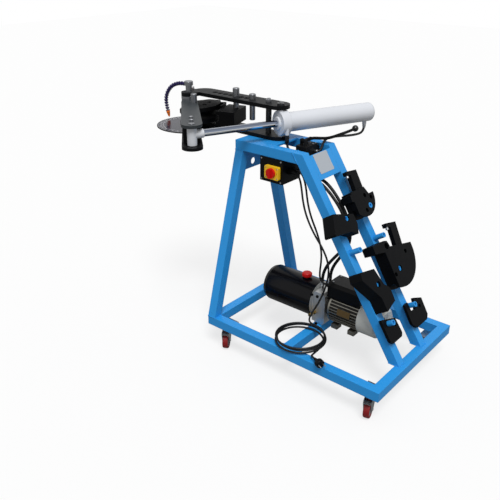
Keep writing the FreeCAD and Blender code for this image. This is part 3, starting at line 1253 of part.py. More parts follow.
def make_cylinder():
    where = {"x": "pivot_x", "y": "pivot_y", "z": "cylinder_z", "yaw": "rod_angle"}
    barrel = turned("barrel_turned", [
        ("head_rear", "barrel_radius - barrel_wall"), ("head_rear", "barrel_radius"),
        ("barrel_length", "barrel_radius"), ("barrel_length", "0"), ("cylinder_open", "0"),
        ("cylinder_open", "barrel_radius - barrel_wall")], upright=False, **where)
    round_edges(barrel, "barrel_round", rim_at("x", "barrel_length", "barrel_radius"))
    port = cylinder("rear_port", "pivot_x + (barrel_length - 30) * cos(rod_angle)",
                    "pivot_y + (barrel_length - 30) * sin(rod_angle)",
                    "cylinder_z - barrel_radius - 13", "9", "18")
    node("cylinder_barrel", fuse("cylinder_barrel_fused", barrel, port))

    flange = turned("head_flange", [
        ("0 - head_front", "0"), ("0 - head_front", "head_radius - 2"),
        ("2 - head_front", "head_radius"), ("head_rear - 2", "head_radius"),
        ("head_rear", "head_radius - 2"), ("head_rear", "0")], upright=False, **where)
    gland = turned("head_gland", [
        ("0 - head_front - 8", "0"), ("0 - head_front - 8", "gland_radius - 2"),
        ("0 - head_front - 6", "gland_radius"), ("2 - head_front", "gland_radius"),
        ("2 - head_front", "0")], upright=False, **where)
    upper = turned("upper_pivot", [
        ("0", "head_radius - 4"), ("trunnion_radius + 1", "head_radius - 4"),
        ("trunnion_radius + 1", "top_plate_z - cylinder_z - 0.3"),
        ("trunnion_radius", "top_plate_z - cylinder_z - 0.3"),
        ("trunnion_radius", "top_plate_top - cylinder_z + 0.3"),
        ("15.5", "top_plate_top - cylinder_z + 0.3"), ("15.5", "top_plate_top - cylinder_z + 9"),
        ("14.5", "top_plate_top - cylinder_z + 10"), ("0", "top_plate_top - cylinder_z + 10")],
        x="pivot_x", y="pivot_y", z="cylinder_z")
    lower = turned("lower_pivot", [
        ("0", "4 - head_radius"), ("trunnion_radius + 1", "4 - head_radius"),
        ("trunnion_radius + 1", "deck + plate_thickness + 0.3 - cylinder_z"),
        ("trunnion_radius", "deck + plate_thickness + 0.3 - cylinder_z"),
        ("trunnion_radius", "deck + 0.5 - cylinder_z"), ("0", "deck + 0.5 - cylinder_z")],
        x="pivot_x", y="pivot_y", z="cylinder_z")
    bore = cylinder("head_bore",
                    "pivot_x - (head_front + 20) * cos(rod_angle)",
                    "pivot_y - (head_front + 20) * sin(rod_angle)", "cylinder_z",
                    "rod_radius + running_fit", "head_front + head_rear + 40",
                    yaw="rod_angle", pitch=90)
    front_port = cylinder("front_port",
                          "pivot_x + 8 * cos(rod_angle) + front_port_side * sin(rod_angle)",
                          "pivot_y + 8 * sin(rod_angle) - front_port_side * cos(rod_angle)",
                          "cylinder_z - 47", "8.5", "36")
    node("cylinder_head", cut("cylinder_head_cut", fuse("cylinder_head_fused", flange, gland,
                                                        upper, lower, front_port), bore))

    piston_x = "head_rear + stroke_left + 1"
    rod = turned("piston_rod_turned", [
        ("eye_radius + 6 - rod_reach", "0"), ("eye_radius + 6 - rod_reach", "rod_radius"),
        (piston_x, "rod_radius"), (piston_x, "barrel_radius - barrel_wall - running_fit"),
        (piston_x + " + 9", "barrel_radius - barrel_wall - running_fit"),
        (piston_x + " + 9", "barrel_radius - barrel_wall - 3"),
        (piston_x + " + 15", "barrel_radius - barrel_wall - 3"),
        (piston_x + " + 15", "barrel_radius - barrel_wall - running_fit"),
        (piston_x + " + piston_length", "barrel_radius - barrel_wall - running_fit"),
        (piston_x + " + piston_length", "0")], upright=False, **where)
    node("piston_rod", rod)
    eye = cylinder("eye_tube", "eye_x", "eye_y", "deck + eye_low", "eye_radius",
                   "eye_high - eye_low")
    socket = cylinder("eye_socket", "eye_x", "eye_y", "cylinder_z", "rod_socket",
                      "eye_radius + 26", yaw="rod_angle", pitch=90)
    hollow = cylinder("eye_hollow", "eye_x", "eye_y", "deck", "eye_bore", "120")
    rod_seat = cylinder("eye_rod_seat", "eye_x + (eye_radius + 6) * cos(rod_angle)",
                        "eye_y + (eye_radius + 6) * sin(rod_angle)", "cylinder_z",
                        "rod_radius", "40", yaw="rod_angle", pitch=90)
    node("rod_eye", cut("rod_eye_cut", fuse("rod_eye_fused", eye, socket), hollow, rod_seat))


# Angle pointer: block, chain of ball links and nozzle over the degree disc

POINTER_ROUTE = ((-369, 302, 157), (-384, 297.5, 161), (-410, 290, 162), (-431, 284, 157),
                 (-451, 278, 147), (-469, 273, 128), (-481, 269, 103), (-484.5, 268, 78),
                 (-482, 269, 54), (-478, 270, 34))
LINKS = 22
LINK_PROFILE = ((0.02, 4.2), (0.3, 6.4), (0.7, 6.4), (0.98, 5.0))


def make_pointer():
    base = prism("pointer_block", [
        ("-14", "-13"), ("14", "-13"), ("14", "13"), ("-14", "13")], "pointer_base_height",
        x="stand_x - 356.3", y="front_y + 304.7", z="top_plate_z", yaw="0 - nose_flare")
    round_edges(base, "3", upright_at(("-14", "-13"), ("-14", "13")))
    screws = [cylinder("pointer_screw_%d" % number,
                       "stand_x - 356.3 + 9 * cos(nose_flare) + (%s) * sin(nose_flare)" % side,
                       "front_y + 304.7 - 9 * sin(nose_flare) + (%s) * cos(nose_flare)" % side,
                       "top_plate_z + pointer_base_height", "3.5", rise)
              for number, (side, rise) in enumerate((("6", "9"), ("-7", "4")))]
    node("pointer_base", fuse("pointer_base_fused", base, *screws))
    lift = size("head_rise")
    points = [stand_point(x, y, z + lift) for x, y, z in POINTER_ROUTE]
    path = rounded_path(points)[0]
    step = path.Length / LINKS
    across = (points[4] - points[0]).cross(points[-1] - points[0])
    rings = []
    for number in range(LINKS):
        for part, radius in LINK_PROFILE:
            along = step * (number + part)
            here = path_point(path, along)
            way = path_point(path, along + 0.5) - path_point(path, along - 0.5)
            ring = Part.Wire(Part.makeCircle(radius))
            ring.Placement = FreeCAD.Placement(
                here, FreeCAD.Rotation(across, Vector(0, 0, 0), way, "ZXY"))
            rings.append(ring)
    node("pointer_hose", solid("pointer_hose_links", Part.makeLoft(rings, True, True)))
    elbow_top = points[0]
    start = Vector(elbow_top.x + 9, elbow_top.y, elbow_top.z - 2)
    low = Vector(start.x, start.y, size("top_plate_z + pointer_base_height"))
    connector = Part.makeCone(7.5, 6.5, elbow_top.z + 2 - low.z, low)
    outlet = Part.makeCylinder(6.4, 9.5, elbow_top, points[0] - points[1])
    tip = points[-1]
    nozzle = Part.makeCone(6.2, 2.2, tip.z - size("deck") - 4, tip, tip - points[-2])
    fittings = [solid("pointer_connector", connector.fuse(outlet)),
                solid("pointer_nozzle_cone", nozzle)]
    node("pointer_nozzle", group("pointer_nozzle_group", *fittings))


def path_point(path, along):
    """The point at a length along a wire."""
    for edge in path.OrderedEdges:
        if along <= edge.Length + 1e-6:
            return edge.valueAt(edge.getParameterByLength(min(along, edge.Length)))
        along -= edge.Length
    return path.OrderedEdges[-1].valueAt(path.OrderedEdges[-1].LastParameter)


# Hoses and cables that the machine holds, from the base corner, in order along each

PUMP_HOSE_A = ((266, 286, 667), (266, 286, 650), (282, 288, 636), (314, 289, 630),
               (358, 290, 621), (398, 291, 596), (436, 292, 560), (464, 292, 528),
               (486, 292, 486), (500, 292, 440), (498, 292, 398), (476, 292, 352),
               (444, 291, 312), (416, 290, 272), (400, 289, 232), (396, 289, 198),
               (396, 289, 171))
PUMP_HOSE_B = ((288, 304, 667), (288, 304, 652), (302, 306, 641), (332, 307, 634),
               (374, 308, 622), (412, 309, 592), (448, 309, 552), (474, 309, 516),
               (494, 309, 474), (504, 309, 428), (500, 310, 386), (480, 311, 342),
               (454, 312, 302), (432, 313, 264), (421, 313, 230), (420, 313, 198),
               (420, 313, 171))
MOTOR_CABLE = ((271, 262, 655), (288, 262, 650), (302, 262, 630), (314, 261, 592),
               (322, 260, 548), (334, 259, 506), (352, 258, 466), (376, 257, 424),
               (396, 256, 380), (406, 256, 336), (405, 258, 292), (399, 262, 252),
               (396, 267, 222), (399, 271, 203), (410, 273, 192), (426, 273, 190))
REAR_HOSE = ((311.6, 684.4, 769.5), (311.6, 684.4, 750), (312, 670, 738), (314, 644, 735),
             (313, 604, 738), (312, 560, 744), (309, 516, 752), (308, 472, 760),
             (306, 436, 765), (309, 405, 766), (314, 378, 761), (321, 358, 748),
             (321, 343, 734), (313, 334, 728), (300, 334, 728))
FRONT_HOSE = ((187.6, 294.4, 775), (187.6, 294.4, 762), (189, 293.4, 746), (194, 291.5, 732),
              (205, 289, 723), (221, 287.4, 719), (238, 287, 719), (252, 287, 719))


def make_lines():
    held = (("pump_lines", (("pump hose a", PUMP_HOSE_A, "hose_radius"),
                            ("pump hose b", PUMP_HOSE_B, "hose_radius"),
                            ("motor cable", MOTOR_CABLE, "cable_radius"))),
            ("cylinder_hoses", (("rear hose", REAR_HOSE, "cylinder_hose_radius"),
                                ("front hose", FRONT_HOSE, "cylinder_hose_radius"))))
    for name, lines in held:
        tubes = []
        for label, route, radius in lines:
            points = [stand_point(*point) for point in route]
            tubes.append(solid(label.replace(" ", "_"), tube_along(label, points, size(radius))))
        node(name, group(name + "_group", *tubes))


# Supply cord: down from the control box, a loose coil on the rails, and its plug

CORD_ROUTE = ((271, 236, 655), (288, 236, 651), (301, 236, 632), (310, 236, 594),
              (318, 236, 546), (332, 237, 498), (356, 237, 452), (386, 237, 410),
              (420, 237, 372), (446, 237, 330), (458, 237, 284), (455, 237, 236),
              (444, 237, 190), (431, 234, 148), (419, 226, 112), (408, 213, 82),
              (401, 201, 60), (402, 194, 45), (410, 191.4, 36.4), (422, 191, 34.85))
COIL_MIDDLE = (430, 97)
COIL_TURNS = 3.25
COIL_RADIUS = 94
COIL_SWAY = 6
COIL_PITCH = 9.4
TAIL_ROUTE = ((0, -8, 0), (0.6, -24, 0), (1.6, -40, 0.3), (3.4, -55, 2), (8, -68, 6.5),
              (16, -77, 11), (26, -82.5, 13.8), (35, -86.5, 14.1))


def coil_point(turns):
    """A point of the coil, which sinks a little more than a cord each turn."""
    angle = math.radians(90 - 360 * turns)
    radius = COIL_RADIUS + COIL_SWAY * (1 - math.cos(math.radians(360 * turns * 0.62)))
    x = COIL_MIDDLE[0] + radius * math.cos(angle)
    y = COIL_MIDDLE[1] + radius * math.sin(angle)
    return stand_point(x, y, size("cord_radius") + 0.3 + COIL_PITCH * (COIL_TURNS - turns))


def coil_way(turns):
    """The direction of the coil, level at both of its ends."""
    way = coil_point(turns + 0.004) - coil_point(turns - 0.004)
    if turns in (0, COIL_TURNS):
        way = Vector(1, 0, 0) if turns == 0 else Vector(0, -1, 0)
    way.normalize()
    return way


def biarc(start, start_way, end, end_way):
    """Two arcs that join two points and their directions smoothly."""
    chord = end - start
    both = start_way + end_way
    spread = 2 * (1 - start_way.dot(end_way))
    reach = (math.sqrt(chord.dot(both) ** 2 + spread * chord.dot(chord)) - chord.dot(both)) / spread
    first, second = start + start_way * reach, end - end_way * reach
    middle = (first + second) * 0.5
    arcs = []
    for low, corner, high in ((start, first, middle), (middle, second, end)):
        inward = (low - corner).normalize() + (high - corner).normalize()
        half = (high - low).Length / 2
        turn = (corner - low).getAngle(high - corner)
        radius = half / math.sin(turn / 2)
        sag = radius * (1 - math.cos(turn / 2))
        bulge = (low + high) * 0.5 - inward.normalize() * sag
        arcs.append(Part.Arc(low, bulge, high).toShape())
    return arcs


def make_cord():
    radius = size("cord_radius")
    edges = []
    lead = 2 * radius
    start, way = coil_point(0), coil_way(0)
    edges.append(Part.LineSegment(start - way * lead, start).toShape())
    quarters = int(COIL_TURNS * 4)
    for number in range(quarters):
        low, high = number / 4, (number + 1) / 4
        edges += biarc(coil_point(low), coil_way(low), coil_point(high), coil_way(high))
    end, end_way = coil_point(COIL_TURNS), coil_way(COIL_TURNS)
    edges.append(Part.LineSegment(end, end + end_way * lead).toShape())
    path = Part.Wire(edges)
    ring = Part.Wire(Part.makeCircle(radius, start - way * lead, way))
    coil = path.makePipeShell([ring], True, False)
    spots = [coil_point(COIL_TURNS * number / 400) for number in range(401)]
    gap = min((first - second).Length for number, first in enumerate(spots)
              for second in spots[number + 60:]) - 2 * radius
    print("coil: %.0f mm long, least gap to itself %.2f mm, volume ratio %.4f"
          % (path.Length, gap, coil.Volume / (math.pi * radius ** 2 * path.Length)))
    node("cord_coil", solid("cord_coil_tube", coil))

    points = [stand_point(*point) for point in CORD_ROUTE[:-1]]
    points.append(start - way * lead)
    down = solid("cord_down", tube_along("supply cord", points, radius))
    tail_points = [end + Vector(*point) for point in TAIL_ROUTE]
    tail = solid("cord_tail", tube_along("cord tail", tail_points, radius))
    node("supply_cord", group("supply_cord_group", down, tail))

    top = tail_points[-1]
    drop = (tail_points[-1] - tail_points[-2]).normalize()
    grip = Part.makeCone(radius + 1.5, 9, 16, top, drop)
    shoulder = Part.makeCone(9, size("plug_radius"), 10, top + drop * 16, drop)
    barrel = Part.makeCylinder(size("plug_radius"), 20, top + drop * 26, drop)
    across = drop.cross(Vector(0, 0, 1)).normalize()
    pins = [Part.makeCylinder(2.4, 19, top + drop * 46 + across * side, drop)
            for side in (-9.5, 9.5)]
    node("plug", solid("plug_solid", grip.multiFuse([shoulder, barrel] + pins)))


make_base_frame()
make_left_legs()
make_right_legs()
make_top_frame()
make_panels()
make_casters()
make_formers()
make_power_pack()
make_controls()
make_head_plates()
make_pins()
make_arm()
make_die()
make_cylinder()
make_pointer()
make_lines()
make_cord()
doc.recompute()

for thing in doc.Objects:
    if "Invalid" in thing.State or "Error" in thing.State:
        raise RuntimeError("%s failed: %s" % (thing.Name, thing.State))
for name, thing in nodes.items():
    if thing.Shape.isNull() or not thing.Shape.isValid():
        raise RuntimeError("%s has no valid shape" % name)

os.makedirs("parts", exist_ok=True)
for name, thing in nodes.items():
    thing.Shape.exportStep("parts/%s.step" % name)
held = [thing.Shape for name, thing in nodes.items()
        if name not in ("supply_cord", "cord_coil", "plug")]
whole = Part.makeCompound(held).BoundBox
print("%d sub-parts, X %.2f to %.2f, Y %.2f to %.2f, Z %.2f to %.2f"
      % (len(nodes), whole.XMin, whole.XMax, whole.YMin, whole.YMax, whole.ZMin, whole.ZMax))
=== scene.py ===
# %% [markdown]
# # A hydraulic tube bender on its wheeled stand
# The machine was drawn part by part in CAD and packed as a fixed frame: every node already has
# its size, its place and its joint. This lesson dresses that frame. It gives each node the finish
# of the real material and adds what a drawing leaves out, such as screws, weld beads, crimped
# hose ends and the scale of the degree disc. Nothing here moves or resizes a CAD node.

# %% Load the frame
import bpy
import bmesh
import json
import math
from mathutils import Matrix, Vector


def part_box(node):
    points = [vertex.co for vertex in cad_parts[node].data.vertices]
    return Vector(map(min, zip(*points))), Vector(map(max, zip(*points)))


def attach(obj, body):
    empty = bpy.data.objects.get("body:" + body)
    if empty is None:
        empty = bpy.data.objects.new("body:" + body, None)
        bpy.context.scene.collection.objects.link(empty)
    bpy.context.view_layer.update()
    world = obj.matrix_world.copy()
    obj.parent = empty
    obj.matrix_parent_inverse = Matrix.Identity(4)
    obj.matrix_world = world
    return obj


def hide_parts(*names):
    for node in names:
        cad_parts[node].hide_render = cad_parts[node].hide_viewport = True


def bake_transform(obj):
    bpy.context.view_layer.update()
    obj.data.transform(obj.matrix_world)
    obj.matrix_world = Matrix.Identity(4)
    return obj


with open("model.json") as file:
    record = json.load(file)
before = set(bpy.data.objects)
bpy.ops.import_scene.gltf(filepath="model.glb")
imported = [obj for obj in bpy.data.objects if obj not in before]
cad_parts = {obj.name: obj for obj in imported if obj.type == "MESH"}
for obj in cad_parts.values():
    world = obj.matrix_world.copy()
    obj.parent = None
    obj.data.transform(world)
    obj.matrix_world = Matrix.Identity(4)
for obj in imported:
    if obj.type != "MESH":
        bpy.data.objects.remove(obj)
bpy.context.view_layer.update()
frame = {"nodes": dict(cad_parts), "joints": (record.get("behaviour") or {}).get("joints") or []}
nodes = frame["nodes"]

# %% [markdown]
# ## Places and measures
# The drawing measures most things in millimetres from the front corner of the base frame at the
# head end, and up from the top of its rails. Reading that corner and the deck height from the
# frame keeps this file free of copied coordinates, so a piece goes where the CAD says.

# %% Places
MM = 0.001
MICRON = 1e-6
UP = (0, 0, 1)
FRONTWARD = (0, -1, 0)
rail_corner, rail_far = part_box("base_frame")
deck_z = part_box("top_frame")[1].z


def from_corner(x, y, z):
    """A place, from millimetres off the base's front corner and up from the rails."""
    return Vector((rail_corner.x + x * MM, rail_corner.y + y * MM, rail_far.z + z * MM))


def above_deck(x, y, z):
    """The same, but up from the top of the stand."""
    return Vector((rail_corner.x + x * MM, rail_corner.y + y * MM, deck_z + z * MM))


def middle_of(node):
    low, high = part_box(node)
    return (low + high) / 2


print("base corner", rail_corner[:], "deck at", round(deck_z, 3))

# %% [markdown]
# ## Small helpers
# Colours are written as the sRGB hex codes that a paint card or a photograph gives, and one
# function turns them into the linear numbers that a shader needs. Another adds one node to a node
# tree, with its settings and links, which keeps every material and every modifier tree short. The
# last two put a new thing in the scene.

# %% Colours and nodes
def linear(code):
    """An sRGB hex code such as 469BE6 as linear red, green, blue and alpha."""
    channels = [int(code[i:i + 2], 16) / 255 for i in (0, 2, 4)]
    return tuple(c / 12.92 if c <= 0.04045 else ((c + 0.055) / 1.055) ** 2.4
                 for c in channels) + (1.0,)


def add(tree, kind, traits=(), inputs=()):
    """Add a node: traits are its settings; inputs are values, sockets, or nodes to link."""
    node = tree.nodes.new(kind)
    for name, value in dict(traits).items():
        setattr(node, name, value)
    for name, value in dict(inputs).items():
        if isinstance(value, bpy.types.Node):
            value = value.outputs[0]
        if isinstance(value, bpy.types.NodeSocket):
            tree.links.new(value, node.inputs[name])
        else:
            node.inputs[name].default_value = value
    return node


# %% Things in the scene
def placed(name, data, body=None):
    """A new object in the scene, which rides on a body where one is named."""
    thing = bpy.data.objects.new(name, data)
    bpy.context.scene.collection.objects.link(thing)
    if body:
        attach(thing, body)
    return thing


def piece_from(name, shape, material, body, smooth=False):
    """Turn a finished bmesh into a piece of one material that rides on a body."""
    mesh = bpy.data.meshes.new(name)
    shape.to_mesh(mesh)
    shape.free()
    mesh.materials.append(material)
    if smooth:
        mesh.shade_smooth()
        mesh.set_sharp_from_angle(angle=math.radians(35))
    return placed(name, mesh, body)


# %% [markdown]
# ## Camera
# The photograph's edges gave its viewpoint: a lens of about 46 mm on a 36 mm frame, turned 40
# degrees to the right side and tipped down 26 degrees. The camera comes before any other thing,
# because the supply cord's room is judged through it.

# %% Camera at the photograph's viewpoint
CAMERA_PLACE = from_corner(1702.8, -1746.1, 1484.9)
CAMERA_TURN = math.radians(39.96)
CAMERA_TIP = math.radians(25.61)
LENS_MM = 46.42

lens = bpy.data.cameras.new("studio_camera")
lens.lens = LENS_MM
lens.sensor_width = 36
lens.sensor_fit = "HORIZONTAL"
lens.clip_end = 60
camera = placed("studio_camera", lens)
camera.location = CAMERA_PLACE
camera.rotation_euler = (math.pi / 2 - CAMERA_TIP, 0, CAMERA_TURN)
bpy.context.scene.camera = camera
print("camera at", camera.location[:])

# %% [markdown]
# ## Light, floor and background
# A catalogue picture is lit by one big soft lamp high on the right, with a white room all round.
# One sun lamp with a wide angle makes the soft shadows, and the world adds an even fill. The floor
# and the world show plain white to the camera, yet the floor keeps a faint shadow. To the light
# that it sends back the floor is a worn grey, like the workshop floor that was cut out of the
# picture, so the undersides of the tubes and tanks stay dark.

# %% World and lamp
WHITE = (1, 1, 1, 1)
SEEN, GLOSSY, FILL = 1.0, 0.8, 0.48
LAMP_FROM = Vector((0.36, -0.34, 0.87))

world = bpy.data.worlds.new("white_room")
bpy.context.scene.world = world
world.use_nodes = True
room = world.node_tree
room.nodes.clear()
ray = add(room, "ShaderNodeLightPath").outputs
straight = add(room, "ShaderNodeMath", {"operation": "MAXIMUM"},
               {0: ray["Is Camera Ray"], 1: ray["Is Transmission Ray"]})
white_seen, gloss_seen, fill = [
    add(room, "ShaderNodeBackground", {}, {"Color": WHITE, "Strength": strength})
    for strength in (SEEN, GLOSSY, FILL)]
lit = add(room, "ShaderNodeMixShader", {}, {0: ray["Is Glossy Ray"], 1: fill, 2: gloss_seen})
mixed = add(room, "ShaderNodeMixShader", {}, {0: straight, 1: lit, 2: white_seen})
add(room, "ShaderNodeOutputWorld", {}, {"Surface": mixed})

lamp = bpy.data.lights.new("soft_lamp", "SUN")
lamp.energy = 2.3
lamp.angle = math.radians(24)
placed("soft_lamp", lamp).rotation_euler = LAMP_FROM.to_track_quat("Z", "Y").to_euler()
bpy.context.scene.view_settings.view_transform = "Standard"
print("lamp shines from", LAMP_FROM[:])

# %% Floor
FLOOR_HALF = 12.0
WHITE_SHARE = 0.72

floor_mesh = bpy.data.meshes.new("studio_floor")
floor_mesh.from_pydata([(x * FLOOR_HALF, y * FLOOR_HALF, 0)
                        for x, y in ((-1, -1), (1, -1), (1, 1), (-1, 1))], [], [(0, 1, 2, 3)])
floor_paint = bpy.data.materials.new("matt white floor paint")
floor_paint.use_nodes = True
tree = floor_paint.node_tree
tree.nodes.clear()
camera_ray = add(tree, "ShaderNodeLightPath").outputs["Is Camera Ray"]
tone = add(tree, "ShaderNodeMix", {"data_type": "RGBA"}, {
    0: camera_ray, 6: linear("8C8C8A"), 7: linear("EDEDED")})
matt = add(tree, "ShaderNodeBsdfDiffuse", {}, {"Color": tone.outputs[2]})
glow = add(tree, "ShaderNodeEmission", {}, {"Color": WHITE, "Strength": 1.0})
share = add(tree, "ShaderNodeMath", {"operation": "MULTIPLY"}, {0: camera_ray, 1: WHITE_SHARE})
both = add(tree, "ShaderNodeMixShader", {}, {0: share, 1: matt, 2: glow})
add(tree, "ShaderNodeOutputMaterial", {}, {"Surface": both})
floor_mesh.materials.append(floor_paint)
placed("studio_floor", floor_mesh)

# %% [markdown]
# ## How a finish is built
# Every finish starts the same way: a principled shader, read in the object's own coordinates, so a
# pattern has one size in millimetres on every piece. Its colour wanders a little in clouds, and so
# may its gloss. Sharp drawn edges catch no light, so a bevel node rounds the shading over the last
# millimetre or two, as a tumbled or painted edge really is, with a fine relief on top.

# %% A new finish
def surface(name, settings):
    """A new material with its tree, its shader and the object's own coordinates."""
    material = bpy.data.materials.new(name)
    material.use_nodes = True
    tree = material.node_tree
    tree.nodes.clear()
    shader = add(tree, "ShaderNodeBsdfPrincipled", {}, settings)
    add(tree, "ShaderNodeOutputMaterial", {}, {"Surface": shader})
    place = add(tree, "ShaderNodeTexCoord").outputs["Object"]
    return material, tree, shader, place


def shifted(code, by):
    """A hex colour made lighter or darker by a share of itself."""
    red, green, blue, alpha = linear(code)
    return tuple(min(1.0, c * (1 + by)) for c in (red, green, blue)) + (alpha,)


def per_metre(size_mm):
    """The scale of a texture whose features are this wide."""
    return 1000 / size_mm


# %% Clouds, a second value and a relief
def clouded(tree, shader, place, size_mm, detail, code, shades, gloss=None, rough=0.5):
    """Let the colour, and the gloss where two ends are given, wander in clouds this wide."""
    clouds = add(tree, "ShaderNodeTexNoise", {}, {
        "Vector": place, "Scale": per_metre(size_mm), "Detail": detail, "Roughness": rough})
    tone = add(tree, "ShaderNodeMix", {"data_type": "RGBA"}, {
        0: clouds, 6: shifted(code, shades[0]), 7: shifted(code, shades[1])})
    tree.links.new(tone.outputs[2], shader.inputs["Base Color"])
    if gloss:
        span = add(tree, "ShaderNodeMapRange", {}, {
            "Value": clouds, "To Min": gloss[0], "To Max": gloss[1]})
        tree.links.new(span.outputs[0], shader.inputs["Roughness"])
    return clouds


def overlaid(tree, shader, share, label, other):
    """Turn one input of a shader into another value where a share says so."""
    kind, first, result = ("RGBA", 6, 2) if label == "Base Color" else ("FLOAT", 2, 0)
    socket = shader.inputs[label]
    own = socket.links[0].from_socket if socket.is_linked else socket.default_value
    mix = add(tree, "ShaderNodeMix", {"data_type": kind}, {0: share, first: own, first + 1: other})
    tree.links.new(mix.outputs[result], socket)


def relief(tree, shader, place, size_mm, detail, strength, depth_um, edge_mm):
    """Round the drawn edges, raise a fine grain on them and return the rounded normal."""
    grain = add(tree, "ShaderNodeTexNoise", {}, {
        "Vector": place, "Scale": per_metre(size_mm), "Detail": detail})
    rounded = add(tree, "ShaderNodeBevel", {"samples": 4}, {"Radius": edge_mm * MM})
    bump = add(tree, "ShaderNodeBump", {}, {
        "Strength": strength, "Distance": depth_um * MICRON, "Height": grain, "Normal": rounded})
    tree.links.new(bump.outputs[0], shader.inputs["Normal"])
    return rounded


# %% [markdown]
# ## Paint
# The stand is powder coated: the melted powder leaves a faint orange peel a few millimetres wide.
# The cylinder and the degree disc wear glossy enamel and the tank a hard black lacquer. One recipe
# gives them all, with the peel's width and depth, the gloss and the share of clear coat.

# %% Painted steel
def painted(name, code, roughness, coat, peel_mm, peel_um, edge_mm, shade=0.05, level=0.5):
    material, tree, shader, place = surface(name, {
        "Roughness": roughness, "Coat Weight": coat, "Coat Roughness": 0.12,
        "IOR": 1.5, "Specular IOR Level": level})
    clouded(tree, shader, place, 160, 3.0, code, (-shade, shade))
    relief(tree, shader, place, peel_mm, 1.0, 0.6, peel_um, edge_mm)
    return material


stand_blue = painted("blue powder coat on steel", "2993DD", 0.44, 0.05, 3.0, 40, 3.0, 0.05, 0.3)
cylinder_grey = painted("pale grey enamel on steel", "D3D6DC", 0.30, 0.35, 6.0, 25, 2.0, 0.03)
tank_lacquer = painted("black lacquer on steel", "050508", 0.22, 0.04, 9.0, 20, 1.5, 0.2, 0.16)
cowl_grey = painted("light grey paint on pressed steel", "C9CAC4", 0.34, 0.3, 4.0, 30, 1.5)
disc_navy = painted("navy enamelled disc", "11122A", 0.18, 0.08, 12.0, 8, 0.8, 0.12, 0.22)
print("paints: 5")

# %% [markdown]
# ## Blackened steel and bare metal
# The tools of the head are flame cut or milled steel, blackened in a hot salt bath. That gives a
# thin near-black skin that is mottled where the steel was rough, and rubs bright on its edges.
# Pins, nuts and the rod are bare: turned or drawn, with fine marks along the way they were made.

# %% Blackened steel
def blackened(name, code, roughness, grain_mm, grain_um, rubbed, level):
    material, tree, shader, place = surface(name, {"IOR": 1.5, "Specular IOR Level": level})
    blotch = clouded(tree, shader, place, 28, 5.0, code, (-0.35, 0.45),
                     (roughness - 0.08, roughness + 0.10), 0.6)
    rounded = relief(tree, shader, place, grain_mm, 3.0, 0.7, grain_um, 1.2)
    flat = add(tree, "ShaderNodeNewGeometry")
    facing = add(tree, "ShaderNodeVectorMath", {"operation": "DOT_PRODUCT"},
                 {0: rounded, 1: flat.outputs["Normal"]})
    edge = add(tree, "ShaderNodeMapRange", {}, {
        "Value": facing.outputs["Value"], "From Min": 1.0, "From Max": 0.86})
    rub = add(tree, "ShaderNodeMath", {"operation": "MULTIPLY"}, {0: edge, 1: blotch})
    overlaid(tree, shader, rub, "Base Color", linear(rubbed))
    return material


tool_black = blackened("blackened tool steel", "040405", 0.50, 1.6, 30, "151619", 0.10)
plate_black = blackened("blackened steel plate", "07080A", 0.46, 2.4, 40, "1E1F22", 0.13)
arm_grey = blackened("worn grey steel plate", "2C3134", 0.40, 2.4, 40, "66696C", 0.3)
former_black = blackened("blued tool steel", "040507", 0.50, 1.6, 30, "14161B", 0.09)
cast_black = blackened("black painted iron casting", "0B0B0C", 0.5, 2.0, 120, "242528", 0.2)
print("blackened finishes: 5")


# %% Bare metal
def bare_metal(name, code, roughness, mark_mm, mark_um, along=(1, 1, 1), shade=0.10):
    """Metal with fine marks: the pattern is drawn out where along is small."""
    material, tree, shader, place = surface(name, {"Metallic": 1.0})
    drawn_out = add(tree, "ShaderNodeMapping", {}, {"Vector": place, "Scale": along})
    clouded(tree, shader, drawn_out, mark_mm, 2.0, code, (-shade, shade),
            (roughness * 0.8, roughness * 1.2))
    relief(tree, shader, drawn_out, mark_mm, 2.0, 0.5, mark_um, 0.8)
    return material


pin_steel = bare_metal("oiled turned steel", "8E9094", 0.32, 0.8, 8, (1, 1, 6))
zinc_steel = bare_metal("zinc plated steel", "A9ACAE", 0.34, 5.0, 10)
rod_chrome = bare_metal("hard chrome plated rod", "C8CCD6", 0.08, 0.6, 2)
cast_alloy = bare_metal("sand cast aluminium", "D6D7D6", 0.44, 1.4, 60)
# Painted shade: the motor's alloy is darker than the other castings, standing in for the shade that the
# motor sits in.
shaded_motor_alloy = bare_metal("cast aluminium darkened as painted shade", "8A8880", 0.38, 1.4, 60)
plate_alloy = bare_metal("anodised aluminium sheet", "BFC6CE", 0.34, 0.5, 5, (8, 1, 1), 0.05)
brass = bare_metal("turned brass", "98804E", 0.32, 0.7, 6)
tag_bronze = bare_metal("browned aluminium tag", "6E5A3C", 0.5, 0.6, 5, (8, 1, 1), 0.2)
print("metals: 8")

# %% [markdown]
# ## Bands along the rod
# A chromed rod is a mirror. In a workshop it shows a lamp, a dark wall and a pale floor as bands
# along its length. The white room here has no wall, so these bands are painted reflections, with a
# painted highlight, in the rod's colour, set by how far the surface faces up.

# %% Painted reflection bands
def banded(material, bands):
    """Paint reflections into a metal's colour by how far its surface faces up, from 0 for down to 1 for
    up.
    """
    tree = material.node_tree
    shader = next(node for node in tree.nodes if node.type == "BSDF_PRINCIPLED")
    facing = add(tree, "ShaderNodeNewGeometry")
    split = add(tree, "ShaderNodeSeparateXYZ", {}, {0: facing.outputs["Normal"]})
    up = add(tree, "ShaderNodeMapRange", {}, {"Value": split.outputs["Z"], "From Min": -1.0})
    ramp = add(tree, "ShaderNodeValToRGB", {}, {0: up})
    stops = ramp.color_ramp.elements
    stops[0].position, stops[0].color = bands[0][0], linear(bands[0][1])
    stops[1].position, stops[1].color = bands[-1][0], linear(bands[-1][1])
    for position, code in bands[1:-1]:
        stops.new(position).color = linear(code)
    tree.links.new(ramp.outputs[0], shader.inputs["Base Color"])
